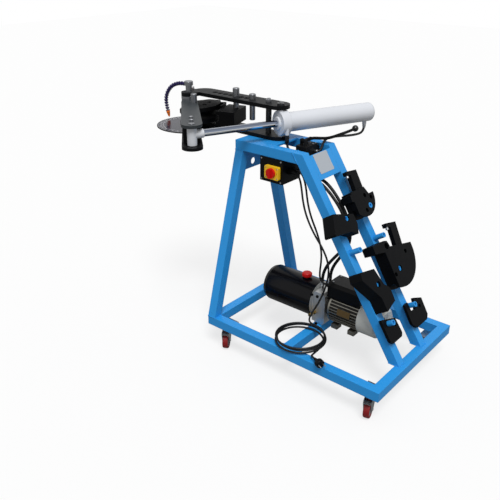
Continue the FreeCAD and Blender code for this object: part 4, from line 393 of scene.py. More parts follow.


# Painted reflection and painted highlight bands, from the rod's underside (0) to its top (1).
banded(rod_chrome, ((0.0, "4A525C"), (0.30, "6A7078"), (0.40, "E6EDF5"), (0.56, "FDFEFF"),
                    (0.62, "8E98AA"), (0.80, "7C8698"), (0.93, "6A7080"), (1.0, "C4C9D2")))
print("rod banded")

# %% [markdown]
# ## Plastics and rubber
# Boxes and knobs are moulded: the tool's spark eroded texture leaves a fine grain on ABS and
# nylon, while the ball links of the pointer are smooth acetal. Hoses and cables have an extruded
# rubber or vinyl sheath, almost without grain, a little dusty and dull. The thin screen prints of
# the disc and the switch are ink, which the same recipe gives.

# %% Moulded plastic and rubber
def moulded(name, code, roughness, grain_mm, grain_um, shade=0.06, level=0.5):
    material, tree, shader, place = surface(name, {"IOR": 1.5, "Specular IOR Level": level})
    clouded(tree, shader, place, 45, 4.0, code, (-shade, shade), (roughness - 0.05, roughness + 0.06))
    relief(tree, shader, place, grain_mm, 1.0, 0.6, grain_um, 1.2)
    return material


box_abs = moulded("black moulded ABS", "060607", 0.38, 0.9, 30, 0.2, 0.14)
knob_black = moulded("black phenolic ball", "0C0C0D", 0.14, 4.0, 5, 0.1)
switch_yellow = moulded("yellow moulded ABS", "F2C21F", 0.34, 0.9, 20)
switch_red = moulded("red moulded nylon", "CC1210", 0.34, 0.9, 20, level=0.2)
link_violet = moulded("violet acetal", "1E1150", 0.30, 2.0, 5)
nozzle_orange = moulded("orange acetal", "F0781A", 0.30, 2.0, 5)
hose_rubber = moulded("black hose rubber", "0D0D0E", 0.50, 0.7, 20, 0.25, 0.3)
cord_vinyl = moulded("black vinyl sheath", "0F0F10", 0.42, 1.2, 10, 0.2, 0.35)
print_white = moulded("white screen print", "E9E9EC", 0.4, 2.0, 2, 0.02)
print_dark = moulded("dark screen print", "08080A", 0.5, 2.0, 2, 0.02, 0.1)
print_black = moulded("black screen print", "141414", 0.4, 2.0, 2, 0.02)
print("plastics, rubber and prints: 11")

# %% [markdown]
# ## Turned pieces
# Crimped sleeves, nuts, plugs and caps are turned or close to it. A small lathe makes them: it
# spins a profile of lengths and radii about an axis that starts at a real place, and six sides
# make a hexagon of it. The ends are closed and the faces point outwards.

# %% A lathe
def circle(radius, sides):
    """Points on a circle round the origin."""
    return [(radius * math.cos(2 * math.pi * k / sides), radius * math.sin(2 * math.pi * k / sides))
            for k in range(sides)]


def skin(shape, rings):
    """Faces between each ring of vertices and the next; a ring of one vertex is a tip."""
    for low, high in zip(rings, rings[1:]):
        for k in range(max(len(low), len(high))):
            corners = [low[k % len(low)], low[(k + 1) % len(low)],
                       high[(k + 1) % len(high)], high[k % len(high)]]
            unique = [v for i, v in enumerate(corners) if v not in corners[:i]]
            if len(unique) > 2:
                shape.faces.new(unique)


def close_ends(shape, rings):
    """Cap the first and the last ring, and turn every face outwards."""
    for ring in (rings[0], rings[-1]):
        if len(ring) > 1:
            shape.faces.new(ring)
    bmesh.ops.recalc_face_normals(shape, faces=shape.faces)


def lathe(name, profile, start, toward, material, sides=40, body="stand"):
    """Spin (along, radius) pairs in millimetres about an axis; ends close on the axis."""
    turn = Vector(toward).to_track_quat("Z", "Y").to_matrix()
    shape = bmesh.new()
    rings = [[shape.verts.new((x, y, along * MM))
              for x, y in (circle(radius * MM, sides) if radius else [(0, 0)])]
             for along, radius in profile]
    skin(shape, rings)
    close_ends(shape, rings)
    shape.transform(Matrix.Translation(start) @ turn.to_4x4())
    return piece_from(name, shape, material, body, smooth=sides > 8)


# %% [markdown]
# ## Supply cord
# The mains lead is an 8 mm vinyl cord of about 2.9 m. It leaves the control box through a gland,
# falls beside the hoses, lies in a loose coil of three and a quarter turns on the base rails, and
# its plug lies on the front rail. The coil's turns come from a formula: each turn sinks a little
# more than a cord and its radius sways, as a coil dropped by hand does. The real cord has no
# corners, so its line is a NURBS spline, and the turns drift a little off one middle.

# %% Route of the supply cord
DOWN_ROUTE = ((271, 236, 655), (288, 236, 651), (301, 236, 632), (310, 236, 594),
              (318, 236, 546), (332, 237, 498), (356, 237, 452), (386, 237, 410),
              (420, 237, 372), (446, 237, 330), (458, 237, 284), (455, 237, 236),
              (444, 237, 190), (431, 234, 148), (419, 226, 112), (408, 213, 82),
              (401, 201, 60), (402, 194, 45), (410, 191.4, 36.4), (422, 191, 34.8))
TAIL_ROUTE = ((0, -8, 0), (0.6, -24, 0), (1.6, -40, 0.3), (3.4, -55, 2), (8, -68, 6.5),
              (16, -77, 11), (26, -82.5, 13.8), (35, -86.5, 14.1))
CORD_DIAMETER = 0.008
CORD_LIFT = 4.3
COIL_X, COIL_Y = 430, 97
COIL_RADIUS = 94
COIL_SWAY = 6
COIL_DRIFT = 6.5
COIL_PITCH = 9.4
COIL_TURNS = 3.25
POINTS_PER_TURN = 16


def coil_point(turns):
    angle = math.radians(90 - 360 * turns)
    sway = COIL_SWAY * (1 - math.cos(math.radians(360 * turns * 0.62)))
    radius = (COIL_RADIUS + sway) / math.cos(math.pi / POINTS_PER_TURN)
    drift = COIL_DRIFT * math.sin(math.pi * turns / COIL_TURNS)
    return from_corner(COIL_X + radius * math.cos(angle) + drift * math.sin(2.4 * turns),
                       COIL_Y + radius * math.sin(angle) + drift * math.cos(2.9 * turns),
                       CORD_LIFT + COIL_PITCH * (COIL_TURNS - turns))


coil_count = int(COIL_TURNS * POINTS_PER_TURN)
coil_end = from_corner(COIL_X + COIL_RADIUS, COIL_Y, CORD_LIFT)
cord_line = [from_corner(*point) for point in DOWN_ROUTE]
cord_line += [coil_point(number / POINTS_PER_TURN) for number in range(1, coil_count)]
cord_line += [coil_end + Vector(point) * MM for point in TAIL_ROUTE]
print("cord route:", len(cord_line), "points")


# %% A cord along its points
def smooth_line(name, points, diameter, material):
    """A curve object on one NURBS spline, as thick as the cord."""
    curve = bpy.data.curves.new(name, "CURVE")
    curve.dimensions = "3D"
    spline = curve.splines.new("NURBS")
    spline.points.add(len(points) - 1)
    for target, point in zip(spline.points, points):
        target.co = (*point, 1)
    spline.order_u = 3
    spline.use_endpoint_u = True
    spline.resolution_u = 6
    curve.bevel_depth = diameter / 2
    curve.bevel_resolution = 5
    curve.use_fill_caps = True
    curve.materials.append(material)
    return placed(name, curve)


supply_cord = smooth_line("supply_lead", cord_line, CORD_DIAMETER, cord_vinyl)
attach(supply_cord, "stand")
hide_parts("supply_cord", "cord_coil")

# %% [markdown]
# ## Plug and glands
# The plug is a moulded two pin plug: a ribbed neck, a round body and two nickel plated pins. The
# gland where the cord leaves the box is a nylon nut with a tapered tail that keeps the cord from
# being bent sharply.

# %% Plug
plug_top = cord_line[-1]
plug_way = (cord_line[-1] - cord_line[-2]).normalized()
neck = [(-1, 4.2), (0, 5.2)]
for rib in range(5):
    neck += [(1.5 + 3 * rib, 5.6 + 0.5 * rib), (2.6 + 3 * rib, 5.6 + 0.5 * rib),
             (2.9 + 3 * rib, 4.9 + 0.5 * rib), (4.1 + 3 * rib, 5.0 + 0.5 * rib)]
shell = [(17, 8.6), (22, 13.2), (26, 16.6), (28, 17.6), (43, 17.6), (45, 16.8), (46, 15.4), (46, 0)]
plug_body = lathe("plug_body", neck + shell, plug_top, plug_way, box_abs)
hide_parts("plug")
side_way = plug_way.cross(Vector(UP)).normalized()
plug_pins = [lathe("plug_pin_%d" % number, [(45.5, 2.4), (63, 2.4), (64.4, 1.8), (65, 0)],
                   plug_top + side_way * shift * MM, plug_way, zinc_steel, 20)
             for number, shift in enumerate((-9.5, 9.5))]

# %% Strain relief
gland_tail = lathe("cord_gland_tail", [(-6, 8.4), (0, 8.2), (5, 7.4), (12, 6.4), (20, 5.2),
                                       (26, 4.6), (26, 4.1)],
                   cord_line[0] - Vector((2 * MM, 0, 0)), cord_line[1] - cord_line[0], box_abs, 32)

# %% [markdown]
# ## Hydraulic hoses and the motor cable
# Two pressure hoses run from the control valve down to the manifold, and a cable from the box to
# the motor. Two thinner hoses feed the cylinder, one at each end. Each of these is made a plain
# mesh; its sleeve at the cylinder rides on the cylinder, and its tail sleeve on the stand.

# %% Hoses from the valve to the manifold
PRESSURE_ROUTE = ((266, 286, 667), (266, 286, 650), (282, 288, 636), (314, 289, 630),
                  (358, 290, 621), (398, 291, 596), (436, 292, 560), (464, 292, 528),
                  (486, 292, 486), (500, 292, 440), (498, 292, 398), (476, 292, 352),
                  (444, 291, 312), (416, 290, 272), (400, 289, 232), (396, 289, 198),
                  (396, 289, 171))
RETURN_ROUTE = ((288, 304, 667), (288, 304, 652), (302, 306, 641), (332, 307, 634),
                (374, 308, 622), (412, 309, 592), (448, 309, 552), (474, 309, 516),
                (494, 309, 474), (504, 309, 428), (500, 310, 386), (480, 311, 342),
                (454, 312, 302), (432, 313, 264), (421, 313, 230), (420, 313, 198),
                (420, 313, 171))
CABLE_ROUTE = ((271, 262, 655), (288, 262, 650), (302, 262, 630), (314, 261, 592),
               (322, 260, 548), (334, 259, 506), (352, 258, 466), (376, 257, 424),
               (396, 256, 380), (406, 256, 336), (405, 258, 292), (399, 262, 252),
               (396, 267, 222), (399, 271, 203), (410, 273, 192), (426, 273, 190))
HOSE_DIAMETER = 0.013
CABLE_DIAMETER = 0.008
HOSE_SLEEVE = [(0, 8.6), (3, 9.2), (9, 9.2), (10, 7.6), (12, 7.6), (13, 8.4), (17, 8.4), (18, 6.4)]

for name, route, diameter, stiffness, material, length in (
        ("pressure_hose", PRESSURE_ROUTE, HOSE_DIAMETER, "stiff", hose_rubber, 0.645),
        ("return_hose", RETURN_ROUTE, HOSE_DIAMETER, "stiff", hose_rubber, 0.620),
        ("motor_lead", CABLE_ROUTE, CABLE_DIAMETER, "medium", cord_vinyl, 0.520)):
    points = [from_corner(*point) for point in route]
    line = smooth_line(name, points, diameter, material)
    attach(line, "stand")
    if route is PRESSURE_ROUTE:
        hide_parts("pump_lines")
    ends = ((points[0], points[1]), (points[-1], points[-2])) if stiffness == "stiff" else ()
    sleeves = [lathe("%s_sleeve_%d" % (name, number), HOSE_SLEEVE, end, inner - end, zinc_steel, 32)
               for number, (end, inner) in enumerate(ends)]
    print(name, "laid")

# %% Hoses of the cylinder
REAR_ROUTE = ((311.6, 684.4, 769.5), (311.6, 684.4, 750), (312, 670, 738), (312.5, 644, 735),
              (309.5, 604, 738), (308, 560, 744), (306.5, 516, 752), (306, 472, 759),
              (303, 436, 763), (302.5, 405, 762), (306, 381, 755), (314.5, 360, 743),
              (318, 344, 733), (312, 334, 728), (300, 334, 728))
FRONT_ROUTE = ((187.6, 294.4, 775), (187.6, 294.4, 762), (189, 293.4, 746), (194, 291.5, 732),
               (205, 289, 723), (221, 287.4, 719), (238, 287, 719), (252, 287, 719))
THIN_HOSE_DIAMETER = 0.010
REAR_SLEEVE = [(0, 7.2), (3, 7.6), (9, 7.6), (10, 6.4), (16, 6.4), (17, 5.2)]
FRONT_SLEEVE = [(-2, 7.8), (0, 8.6), (8, 8.6), (9, 7.4), (11, 7.4), (12, 8.4), (24, 8.4),
                (26, 7.6), (28, 5.4)]
TAIL_SLEEVE = [(0, 7.2), (3, 7.6), (9, 7.6), (10, 6.4), (14, 6.4), (15, 5.2)]


def mesh_now(thing):
    """The mesh of a curve, a text or what modifiers make of it."""
    bpy.context.view_layer.update()
    return bpy.data.meshes.new_from_object(thing.evaluated_get(bpy.context.evaluated_depsgraph_get()))


def as_mesh(thing, name):
    """Put the plain mesh of a thing in its place."""
    mesh = mesh_now(thing)
    mesh.name = name
    bpy.data.objects.remove(thing)
    return placed(name, mesh)


def centre_of(line):
    """The points of a curve's own NURBS line, read with no thickness."""
    depth, line.data.bevel_depth = line.data.bevel_depth, 0
    middle = [vertex.co.copy() for vertex in mesh_now(line).vertices]
    line.data.bevel_depth = depth
    return middle


for name, route, length, profile, material in (
        ("rear_hose", REAR_ROUTE, 0.400, REAR_SLEEVE, zinc_steel),
        ("front_hose", FRONT_ROUTE, 0.105, FRONT_SLEEVE, hose_rubber)):
    points = [from_corner(*point) for point in route]
    line = smooth_line(name + "_curve", points, THIN_HOSE_DIAMETER, hose_rubber)
    middle = centre_of(line)
    hose = as_mesh(line, name)
    hose.data.shade_smooth()
    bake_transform(hose)
    sleeve = lathe(name + "_sleeve", profile, points[0], points[1] - points[0], material, 32,
                   "cylinder")
    tail = lathe(name + "_tail_sleeve", TAIL_SLEEVE, points[-1], points[-2] - points[-1],
                 zinc_steel, 32)
    if route is REAR_ROUTE:
        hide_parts("cylinder_hoses")
    print(name, "laid")

# %% [markdown]
# ## Dressing the nodes
# Most CAD nodes keep their mesh and only take a finish. Some show two, as a steel post does that
# is painted near-black, as painted shade, on part of its length. Their second finish is found by
# place: how far a point lies from an axis, or how high it is.

# %% Finishes of whole nodes
def dress(material, *names):
    for name in names:
        nodes[name].data.materials.clear()
        nodes[name].data.materials.append(material)


dress(stand_blue, "base_frame", "left_legs", "right_legs", "top_frame", "frame_panels")
dress(zinc_steel, "caster_plates", *[name for name in nodes if name.endswith(("_fork", "_pedal"))])
dress(switch_red, "filler_cap", "switch_knob")
dress(tool_black, "bending_die", "follow_block", "valve_lever")
dress(former_black, "half_round_dies", "spare_blocks")
dress(arm_grey, "upper_arm")
dress(plate_black, "bottom_plate", "top_plate", "lower_arm", "pointer_base")
dress(pin_steel, "main_pin", "arm_pins", "follow_pin", "spare_pin", "head_post", "valve_spool",
      "motor_rotor")
dress(cylinder_grey, "cylinder_barrel", "cylinder_head", "rod_eye")
dress(rod_chrome, "piston_rod")
dress(tank_lacquer, "oil_tank")
dress(cast_alloy, "manifold", "gear_pump", "motor_case")
dress(cowl_grey, "fan_cowl")
dress(box_abs, "terminal_box", "control_box", "control_box_cover", "cable_glands", "contactor", "plug")
dress(cast_black, "control_valve")
dress(switch_yellow, "switch_plate")
dress(nozzle_orange, "pointer_nozzle")
print("dressed", sum(1 for node in nodes.values() if node.data.materials), "nodes")


# %% Two finishes on one node
def off_axis(tree, place, point, way):
    """How far a place lies from the axis through a point."""
    arm = add(tree, "ShaderNodeVectorMath", {"operation": "SUBTRACT"}, {0: place, 1: point})
    across = add(tree, "ShaderNodeVectorMath", {"operation": "CROSS_PRODUCT"}, {0: arm, 1: way})
    return add(tree, "ShaderNodeVectorMath", {"operation": "LENGTH"}, {0: across}).outputs["Value"]


def at_height(tree, place, low, high):
    """One between two heights, nothing above and below them."""
    up = add(tree, "ShaderNodeSeparateXYZ", {}, {0: place}).outputs["Z"]
    above = add(tree, "ShaderNodeMath", {"operation": "GREATER_THAN"}, {0: up, 1: low})
    below = add(tree, "ShaderNodeMath", {"operation": "LESS_THAN"}, {0: up, 1: high})
    return add(tree, "ShaderNodeMath", {"operation": "MULTIPLY"}, {0: above, 1: below})


def parted(finish, name, share_of, code, metal, roughness):
    """A copy of a finish that turns into another where a share of the place says so."""
    material = finish.copy()
    material.name = name
    tree = material.node_tree
    shader = next(node for node in tree.nodes if node.type == "BSDF_PRINCIPLED")
    place = next(node for node in tree.nodes if node.type == "TEX_COORD").outputs["Object"]
    share = share_of(tree, place)
    for label, other in (("Base Color", linear(code)), ("Metallic", metal), ("Roughness", roughness)):
        overlaid(tree, shader, share, label, other)
    return material


# %% [markdown]
# ## Nodes with two finishes
# The cylinder's head is enamelled, but its pivot cap over the top plate and its front port are
# bare dark steel. The head post is near-black between the plates, which is painted shade, and bright
# above them. The motor's fins keep the bare metal, while the grooves between them are near-black,
# painted shade, so there the share grows towards the motor's axis. The edge of the degree disc is
# black. A caster wheel is a red polyurethane tread cast on a grey iron hub.

# %% Pivot cap, port, post, fins and rim
CAP_REACH, PORT_DEPTH, PORT_RADIUS = 0.1, 0.034, 0.0095
FIN_ROOT, FIN_HEIGHT = 0.061, 0.008
RIM_DEPTH = 0.0004
port_place = from_corner(187.6, 294.4, 775)
top_plate_low, top_plate_high = (corner.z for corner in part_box("top_plate"))
motor_axis = Vector((0, middle_of("motor_case").y, middle_of("fan_cowl").z))
disc_low, disc_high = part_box("degree_disc")
disc_middle = (disc_low + disc_high) / 2
disc_radius = (disc_high.x - disc_low.x) / 2


def cap_and_port(tree, place):
    cap = at_height(tree, place, top_plate_low, top_plate_high + CAP_REACH)
    low = at_height(tree, place, 0.0, middle_of("cylinder_barrel").z - PORT_DEPTH)
    near = add(tree, "ShaderNodeMath", {"operation": "LESS_THAN"},
               {0: off_axis(tree, place, port_place, UP), 1: PORT_RADIUS})
    port = add(tree, "ShaderNodeMath", {"operation": "MULTIPLY"}, {0: low, 1: near})
    return add(tree, "ShaderNodeMath", {"operation": "MAXIMUM"}, {0: cap, 1: port})


# Painted shade: the post turns near-black between the plates, where they shade it.
def between_plates(tree, place):
    return at_height(tree, place, 0.0, top_plate_low)


# Painted shade: near-black in the grooves between the motor's fins, fading out towards the fin tips.
def in_grooves(tree, place):
    return add(tree, "ShaderNodeMapRange", {}, {
        "Value": off_axis(tree, place, motor_axis, (1, 0, 0)),
        "From Min": FIN_ROOT + FIN_HEIGHT * 0.85,
        "From Max": FIN_ROOT + FIN_HEIGHT * 0.2})


def on_rim(tree, place):
    return add(tree, "ShaderNodeMath", {"operation": "GREATER_THAN"}, {
        0: off_axis(tree, place, disc_middle, UP), 1: disc_radius - RIM_DEPTH})


for node, *parts in (
        ("degree_disc", disc_navy, "navy enamelled disc with a black rim", on_rim,
         "060607", 0.0, 0.5),
        ("cylinder_head", cylinder_grey, "pale grey enamel with bare pivot", cap_and_port,
         "26282B", 0.7, 0.4),
        ("head_post", pin_steel, "turned steel with painted shade between the plates", between_plates,
         "08080A", 0.0, 0.45),
        ("motor_case", shaded_motor_alloy, "cast aluminium with painted shade in the grooves", in_grooves,
         "15130F", 0.2, 0.7)):
    dress(parted(*parts), node)
print("parted finishes: 4")

# %% Cast tread on an iron hub
TREAD_RED, HUB_GREY, HUB_RADIUS = "7E1013", "8D9092", 0.0285

for corner in ("front_left", "front_right", "back_left", "back_right"):
    axle = next(joint["axis"] for joint in frame["joints"] if joint["name"] == corner + "_roll")
    material, tree, shader, place = surface(
        "polyurethane tread on iron, " + corner.replace("_", " "), {"Specular IOR Level": 0.4})
    scuff = clouded(tree, shader, place, 9, 4.0, TREAD_RED, (-0.12, 0.12), (0.34, 0.5))
    hub = add(tree, "ShaderNodeMath", {"operation": "LESS_THAN"}, {
        0: off_axis(tree, place, middle_of(corner + "_wheel"), axle), 1: HUB_RADIUS})
    overlaid(tree, shader, hub, "Base Color", linear(HUB_GREY))
    bump = add(tree, "ShaderNodeBump", {}, {"Strength": 0.5, "Distance": 50 * MICRON, "Height": scuff})
    tree.links.new(bump.outputs[0], shader.inputs["Normal"])
    dress(material, corner + "_wheel")
print("wheels finished")

# %% [markdown]
# ## Fasteners
# Screws repeat all over the machine, always a head with a socket that stands on a face. One
# Geometry Nodes tree makes them: it takes loose points, reads which way each faces from an
# attribute, sets a head on each, sinks its socket, and gives them their metal.

# %% Trees of geometry
def new_tree(name, **sizes):
    """An empty tree with a geometry input and an input for each length or whole count."""
    tree = bpy.data.node_groups.new(name, "GeometryNodeTree")
    tree.interface.new_socket("Geometry", in_out="INPUT", socket_type="NodeSocketGeometry")
    for label, value in sizes.items():
        kind = "NodeSocketInt" if isinstance(value, int) else "NodeSocketFloat"
        tree.interface.new_socket(label, in_out="INPUT", socket_type=kind).default_value = value
    tree.interface.new_socket("Geometry", in_out="OUTPUT", socket_type="NodeSocketGeometry")
    return tree, tree.nodes.new("NodeGroupInput").outputs


def close_tree(tree, points, item, material, middle=(0, 0, 0), **turn):
    """Set an item on points, as real geometry with its material."""
    items = add(tree, "GeometryNodeInstanceOnPoints", {}, {"Points": points, "Instance": item, **turn})
    moved = add(tree, "GeometryNodeTransform", {}, {"Geometry": items, "Translation": middle})
    real = add(tree, "GeometryNodeRealizeInstances", {}, {0: moved})
    metal = add(tree, "GeometryNodeSetMaterial", {}, {"Geometry": real, "Material": material})
    add(tree, "NodeGroupOutput", {}, {0: metal})
    return tree


# %% Tree that sets screw heads on points
def screw_tree(name, material):
    tree, size = new_tree(name, Radius=0.003, Height=0.003, Sides=24, Socket=0.55)
    facing = add(tree, "GeometryNodeInputNamedAttribute", {"data_type": "FLOAT_VECTOR"},
                 {"Name": "facing"})
    turn = add(tree, "FunctionNodeAlignRotationToVector", {"axis": "Z"}, {"Vector": facing})
    head = add(tree, "GeometryNodeMeshCylinder", {"fill_type": "NGON"}, {
        "Vertices": size["Sides"], "Radius": size["Radius"], "Depth": size["Height"]}).outputs
    half = add(tree, "ShaderNodeMath", {"operation": "MULTIPLY"}, {0: size["Height"], 1: 0.5})
    lift = add(tree, "ShaderNodeCombineXYZ", {}, {"Z": half})
    stood = add(tree, "GeometryNodeTransform", {}, {"Geometry": head["Mesh"], "Translation": lift})
    rim = add(tree, "GeometryNodeExtrudeMesh", {"mode": "FACES"}, {
        "Mesh": stood, "Selection": head["Top"], "Offset Scale": 0.0}).outputs
    mouth = add(tree, "GeometryNodeScaleElements", {}, {
        "Geometry": rim["Mesh"], "Selection": rim["Top"], "Scale": size["Socket"]})
    depth = add(tree, "ShaderNodeMath", {"operation": "MULTIPLY"}, {0: size["Height"], 1: -0.6})
    socket = add(tree, "GeometryNodeExtrudeMesh", {"mode": "FACES"}, {
        "Mesh": mouth, "Selection": rim["Top"], "Offset Scale": depth})
    return close_tree(tree, size["Geometry"], socket, material, Rotation=turn)


zinc_screws = screw_tree("zinc socket screws", zinc_steel)
black_screws = screw_tree("blackened socket screws", plate_black)


# %% Seeds that a tree works on
def grown(name, seed, tree, body, **sizes):
    """Run a tree on a seed and keep its result as a plain mesh on a body."""
    modifier = seed.modifiers.new("grow", "NODES")
    modifier.node_group = tree
    for item in tree.interface.items_tree:
        if item.name in sizes:
            modifier[item.identifier] = sizes[item.name]
    piece = as_mesh(seed, name)
    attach(piece, body)
    return piece


def set_points(spots):
    """A seed of loose points with the way that each faces."""
    mesh = bpy.data.meshes.new("points")
    mesh.from_pydata([tuple(place) for place, way in spots], [], [])
    facing = mesh.attributes.new("facing", "FLOAT_VECTOR", "POINT")
    for item, (place, way) in zip(facing.data, spots):
        item.vector = way
    return placed("points", mesh)


def corners_of(node, face, inset_x, inset_up):
    """The four corners of a node's front or top, drawn in from its edges by millimetres."""
    inset = Vector((inset_x, inset_up, inset_up)) * MM
    low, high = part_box(node)
    near, far = low + inset, high - inset
    if face == "front":
        return [(Vector((x, low.y, z)), FRONTWARD) for x in (near.x, far.x)
                for z in (near.z, far.z)]
    return [(Vector((x, y, high.z)), UP) for x in (near.x, far.x) for y in (near.y, far.y)]


# %% Screws of the boxes, the valve, the manifold and the cowl
cowl_low, cowl_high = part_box("fan_cowl")
cowl_rim = Vector((cowl_low.x + 4 * MM, *((cowl_low + cowl_high) / 2).yz))
cowl_radius = (cowl_high.y - cowl_low.y) / 2
ways = [Vector((0, math.cos(math.radians(a)), math.sin(math.radians(a)))) for a in (45, 135, 225, 315)]

for name, spots, tree, radius, height in (
        ("box_cover_screws", corners_of("control_box_cover", "front", 8, 8), zinc_screws, 3.5, 2.2),
        ("terminal_box_screws", corners_of("terminal_box", "top", 14, 20), zinc_screws, 4.2, 2.8),
        ("manifold_screws", corners_of("manifold", "front", 22, 20)[1:], black_screws, 6.5, 5),
        ("valve_screws", [(above_deck(x, y, 6), UP) for x in (259, 293) for y in (328, 344)],
         zinc_screws, 3.5, 3),
        ("switch_plate_screws", corners_of("switch_plate", "front", 7, 7), zinc_screws, 2.4, 1.2),
        ("cowl_screws", [(cowl_rim + way * cowl_radius, way) for way in ways],
         zinc_screws, 3.5, 2.5)):
    grown(name, set_points(spots), tree, "stand", Radius=radius * MM, Height=height * MM)
    print(len(spots), name)

# %% Hexagon bolts of the casters and the pivot cap
CASTER_INSET, BOLT_REACH, PLATE = 0.060, 0.026, 0.004
cap_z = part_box("cylinder_head")[1].z
cap_spots = [(Vector((*from_corner(x, y, 0).xy, cap_z)), UP)
             for x, y in ((140.7, 308.5), (152.9, 298.3))]
caster_spots = [
    (Vector((x + side_x * BOLT_REACH, y + side_y * BOLT_REACH, rail_corner.z - PLATE)), (0, 0, -1))
    for x in (rail_corner.x + CASTER_INSET, rail_far.x - CASTER_INSET)
    for y in (rail_corner.y + CASTER_INSET, rail_far.y - CASTER_INSET)
    for side_x in (-1, 1) for side_y in (-1, 1)]
grown("caster_bolts", set_points(caster_spots), zinc_screws, "stand",
      Radius=0.0055, Height=0.0045, Sides=6, Socket=0.3)
grown("pivot_cap_bolts", set_points(cap_spots), zinc_screws, "cylinder",
      Radius=0.0052, Height=0.006, Sides=6, Socket=0.3)
print(len(caster_spots), "caster bolts,", len(cap_spots), "pivot cap bolts")

# %% [markdown]
# ## Weld beads
# The tubes are welded, and the coat of paint runs over the beads. A bead is a row of small
# overlapping scales, each where the pool froze, so a tree walks along the joint's line and drops a
# small ball every two or three millimetres.

# %% Tree that lays a bead along lines
def bead_tree(name, material):
    tree, size = new_tree(name, Width=0.005, Pitch=0.003)
    line = add(tree, "GeometryNodeMeshToCurve", {}, {0: size["Geometry"]})
    steps = add(tree, "GeometryNodeCurveToPoints", {"mode": "LENGTH"}, {
        "Curve": line, "Length": size["Pitch"]}).outputs
    half = add(tree, "ShaderNodeMath", {"operation": "MULTIPLY"}, {0: size["Width"], 1: 0.5})
    scale = add(tree, "GeometryNodeMeshUVSphere", {}, {"Segments": 8, "Rings": 5, "Radius": half})
    smooth = add(tree, "GeometryNodeSetShadeSmooth", {}, {0: scale})
    return close_tree(tree, steps["Points"], smooth, material, Rotation=steps["Rotation"])


weld_beads = bead_tree("painted weld beads", stand_blue)


def set_lines(lines):
    """A seed of edges from open lines of points; no lines make an empty seed."""
    vertices, edges = [], []
    for line in lines:
        first = len(vertices)
        vertices += [tuple(point) for point in line]
        edges += [(first + i, first + i + 1) for i in range(len(line) - 1)]
    mesh = bpy.data.meshes.new("lines")
    mesh.from_pydata(vertices, edges, [])
    return placed("lines", mesh)


def rectangle(x0, y0, x1, y1, z):
    return [from_corner(x, y, z) for x, y in ((x0, y0), (x1, y0), (x1, y1), (x0, y1), (x0, y0))]


# %% Beads on the stand, in millimetres
TUBE, LEG_FOOT = 40, 41.5
RACK_FOOT, RACK_TOP = 830, 337
ROWS = (193, 373)
PEG_SLOPES, PEG_RADIUS = (175, 333, 481, 611), 11.8
head_rise = (deck_z - rail_far.z) / MM
base_width = (rail_far.y - rail_corner.y) / MM
rack_lean = math.atan2(RACK_FOOT - RACK_TOP, head_rise)
rack_width = TUBE / math.cos(rack_lean)


def on_rack(y, slope, out):
    """A point on the outer face of the rack legs, up the slope from their feet."""
    return from_corner(RACK_FOOT - math.sin(rack_lean) * slope + math.cos(rack_lean) * out, y,
                       math.cos(rack_lean) * slope + math.sin(rack_lean) * out)


seams = [rectangle(0, y, TUBE, y + LEG_FOOT, 0) for y in (0, base_width - LEG_FOOT)]
seams += [[from_corner(x, y, 0) for x in (388, 428)] for y in (TUBE, base_width - TUBE)]
peg_rings = []
for row in ROWS:
    seams.append(rectangle(0, row, TUBE, row + TUBE, head_rise - TUBE))
    seams.append(rectangle(RACK_FOOT - rack_width, row, RACK_FOOT, row + TUBE, 0))
    for y in (row, row + TUBE):
        seams.append([from_corner(RACK_TOP - rack_width + TUBE * math.tan(rack_lean), y,
                                  head_rise - TUBE),
                      from_corner(RACK_TOP - rack_width, y, head_rise)])
    for slope in PEG_SLOPES:
        ring = [on_rack(row + TUBE / 2 + x, slope + up, 0) for x, up in circle(PEG_RADIUS, 18)]
        peg_rings.append(ring + ring[:1])
grown("stand_welds", set_lines(seams), weld_beads, "stand", Width=0.0045)
grown("peg_welds", set_lines(peg_rings), weld_beads, "stand", Width=0.003, Pitch=0.002)
print(len(seams) + len(peg_rings), "weld beads")

# %% [markdown]
# ## Nameplate
# A plate sits on the rack panel, held by four rivets. On this part it is bare: a sheet of anodised
# aluminium with rounded corners and a bevelled rim, nothing printed on it. The motor has a small
# bare tag of its own on its fins, gone brown.

# %% Bare nameplate and tag
SHEET = 0.8
PLATE_Y, PLATE_SLOPE = 296.5, 843.5
TAG_BACK, TAG_OUT = 62, 69.2
TAG_TILT = math.radians(12)
tag_way = Vector((0, -math.cos(TAG_TILT), math.sin(TAG_TILT)))
tag_up = Vector((0, tag_way.z, -tag_way.y))


def rounded_plate(name, spot, half_width, half_height, radius, material):
    """A thin sheet with round corners, placed by a function of across, up and out."""
    rim = [(side * (half_width - radius) + radius * math.cos(math.radians(a)),
            end * (half_height - radius) + radius * math.sin(math.radians(a)))
           for side, end, start in ((1, 1, 0), (-1, 1, 90), (-1, -1, 180), (1, -1, 270))
           for a in range(start, start + 91, 15)]
    shrink = 1 - SHEET * 0.5 / half_height
    shape = bmesh.new()
    rings = [[shape.verts.new(spot(x * size, y * size, out)) for x, y in rim]
             for size, out in ((1, 0), (1, SHEET * 0.8), (shrink, SHEET))]
    skin(shape, rings)
    close_ends(shape, rings)
    piece_from(name, shape, material, "stand")


def plate_spot(across, up, out):
    return on_rack(PLATE_Y + across, PLATE_SLOPE + up, out)


def tag_spot(across, up, out):
    return (motor_axis + Vector((cowl_low.x + (across - TAG_BACK) * MM, 0, 0))
            + tag_way * (TAG_OUT + out) * MM + tag_up * up * MM)


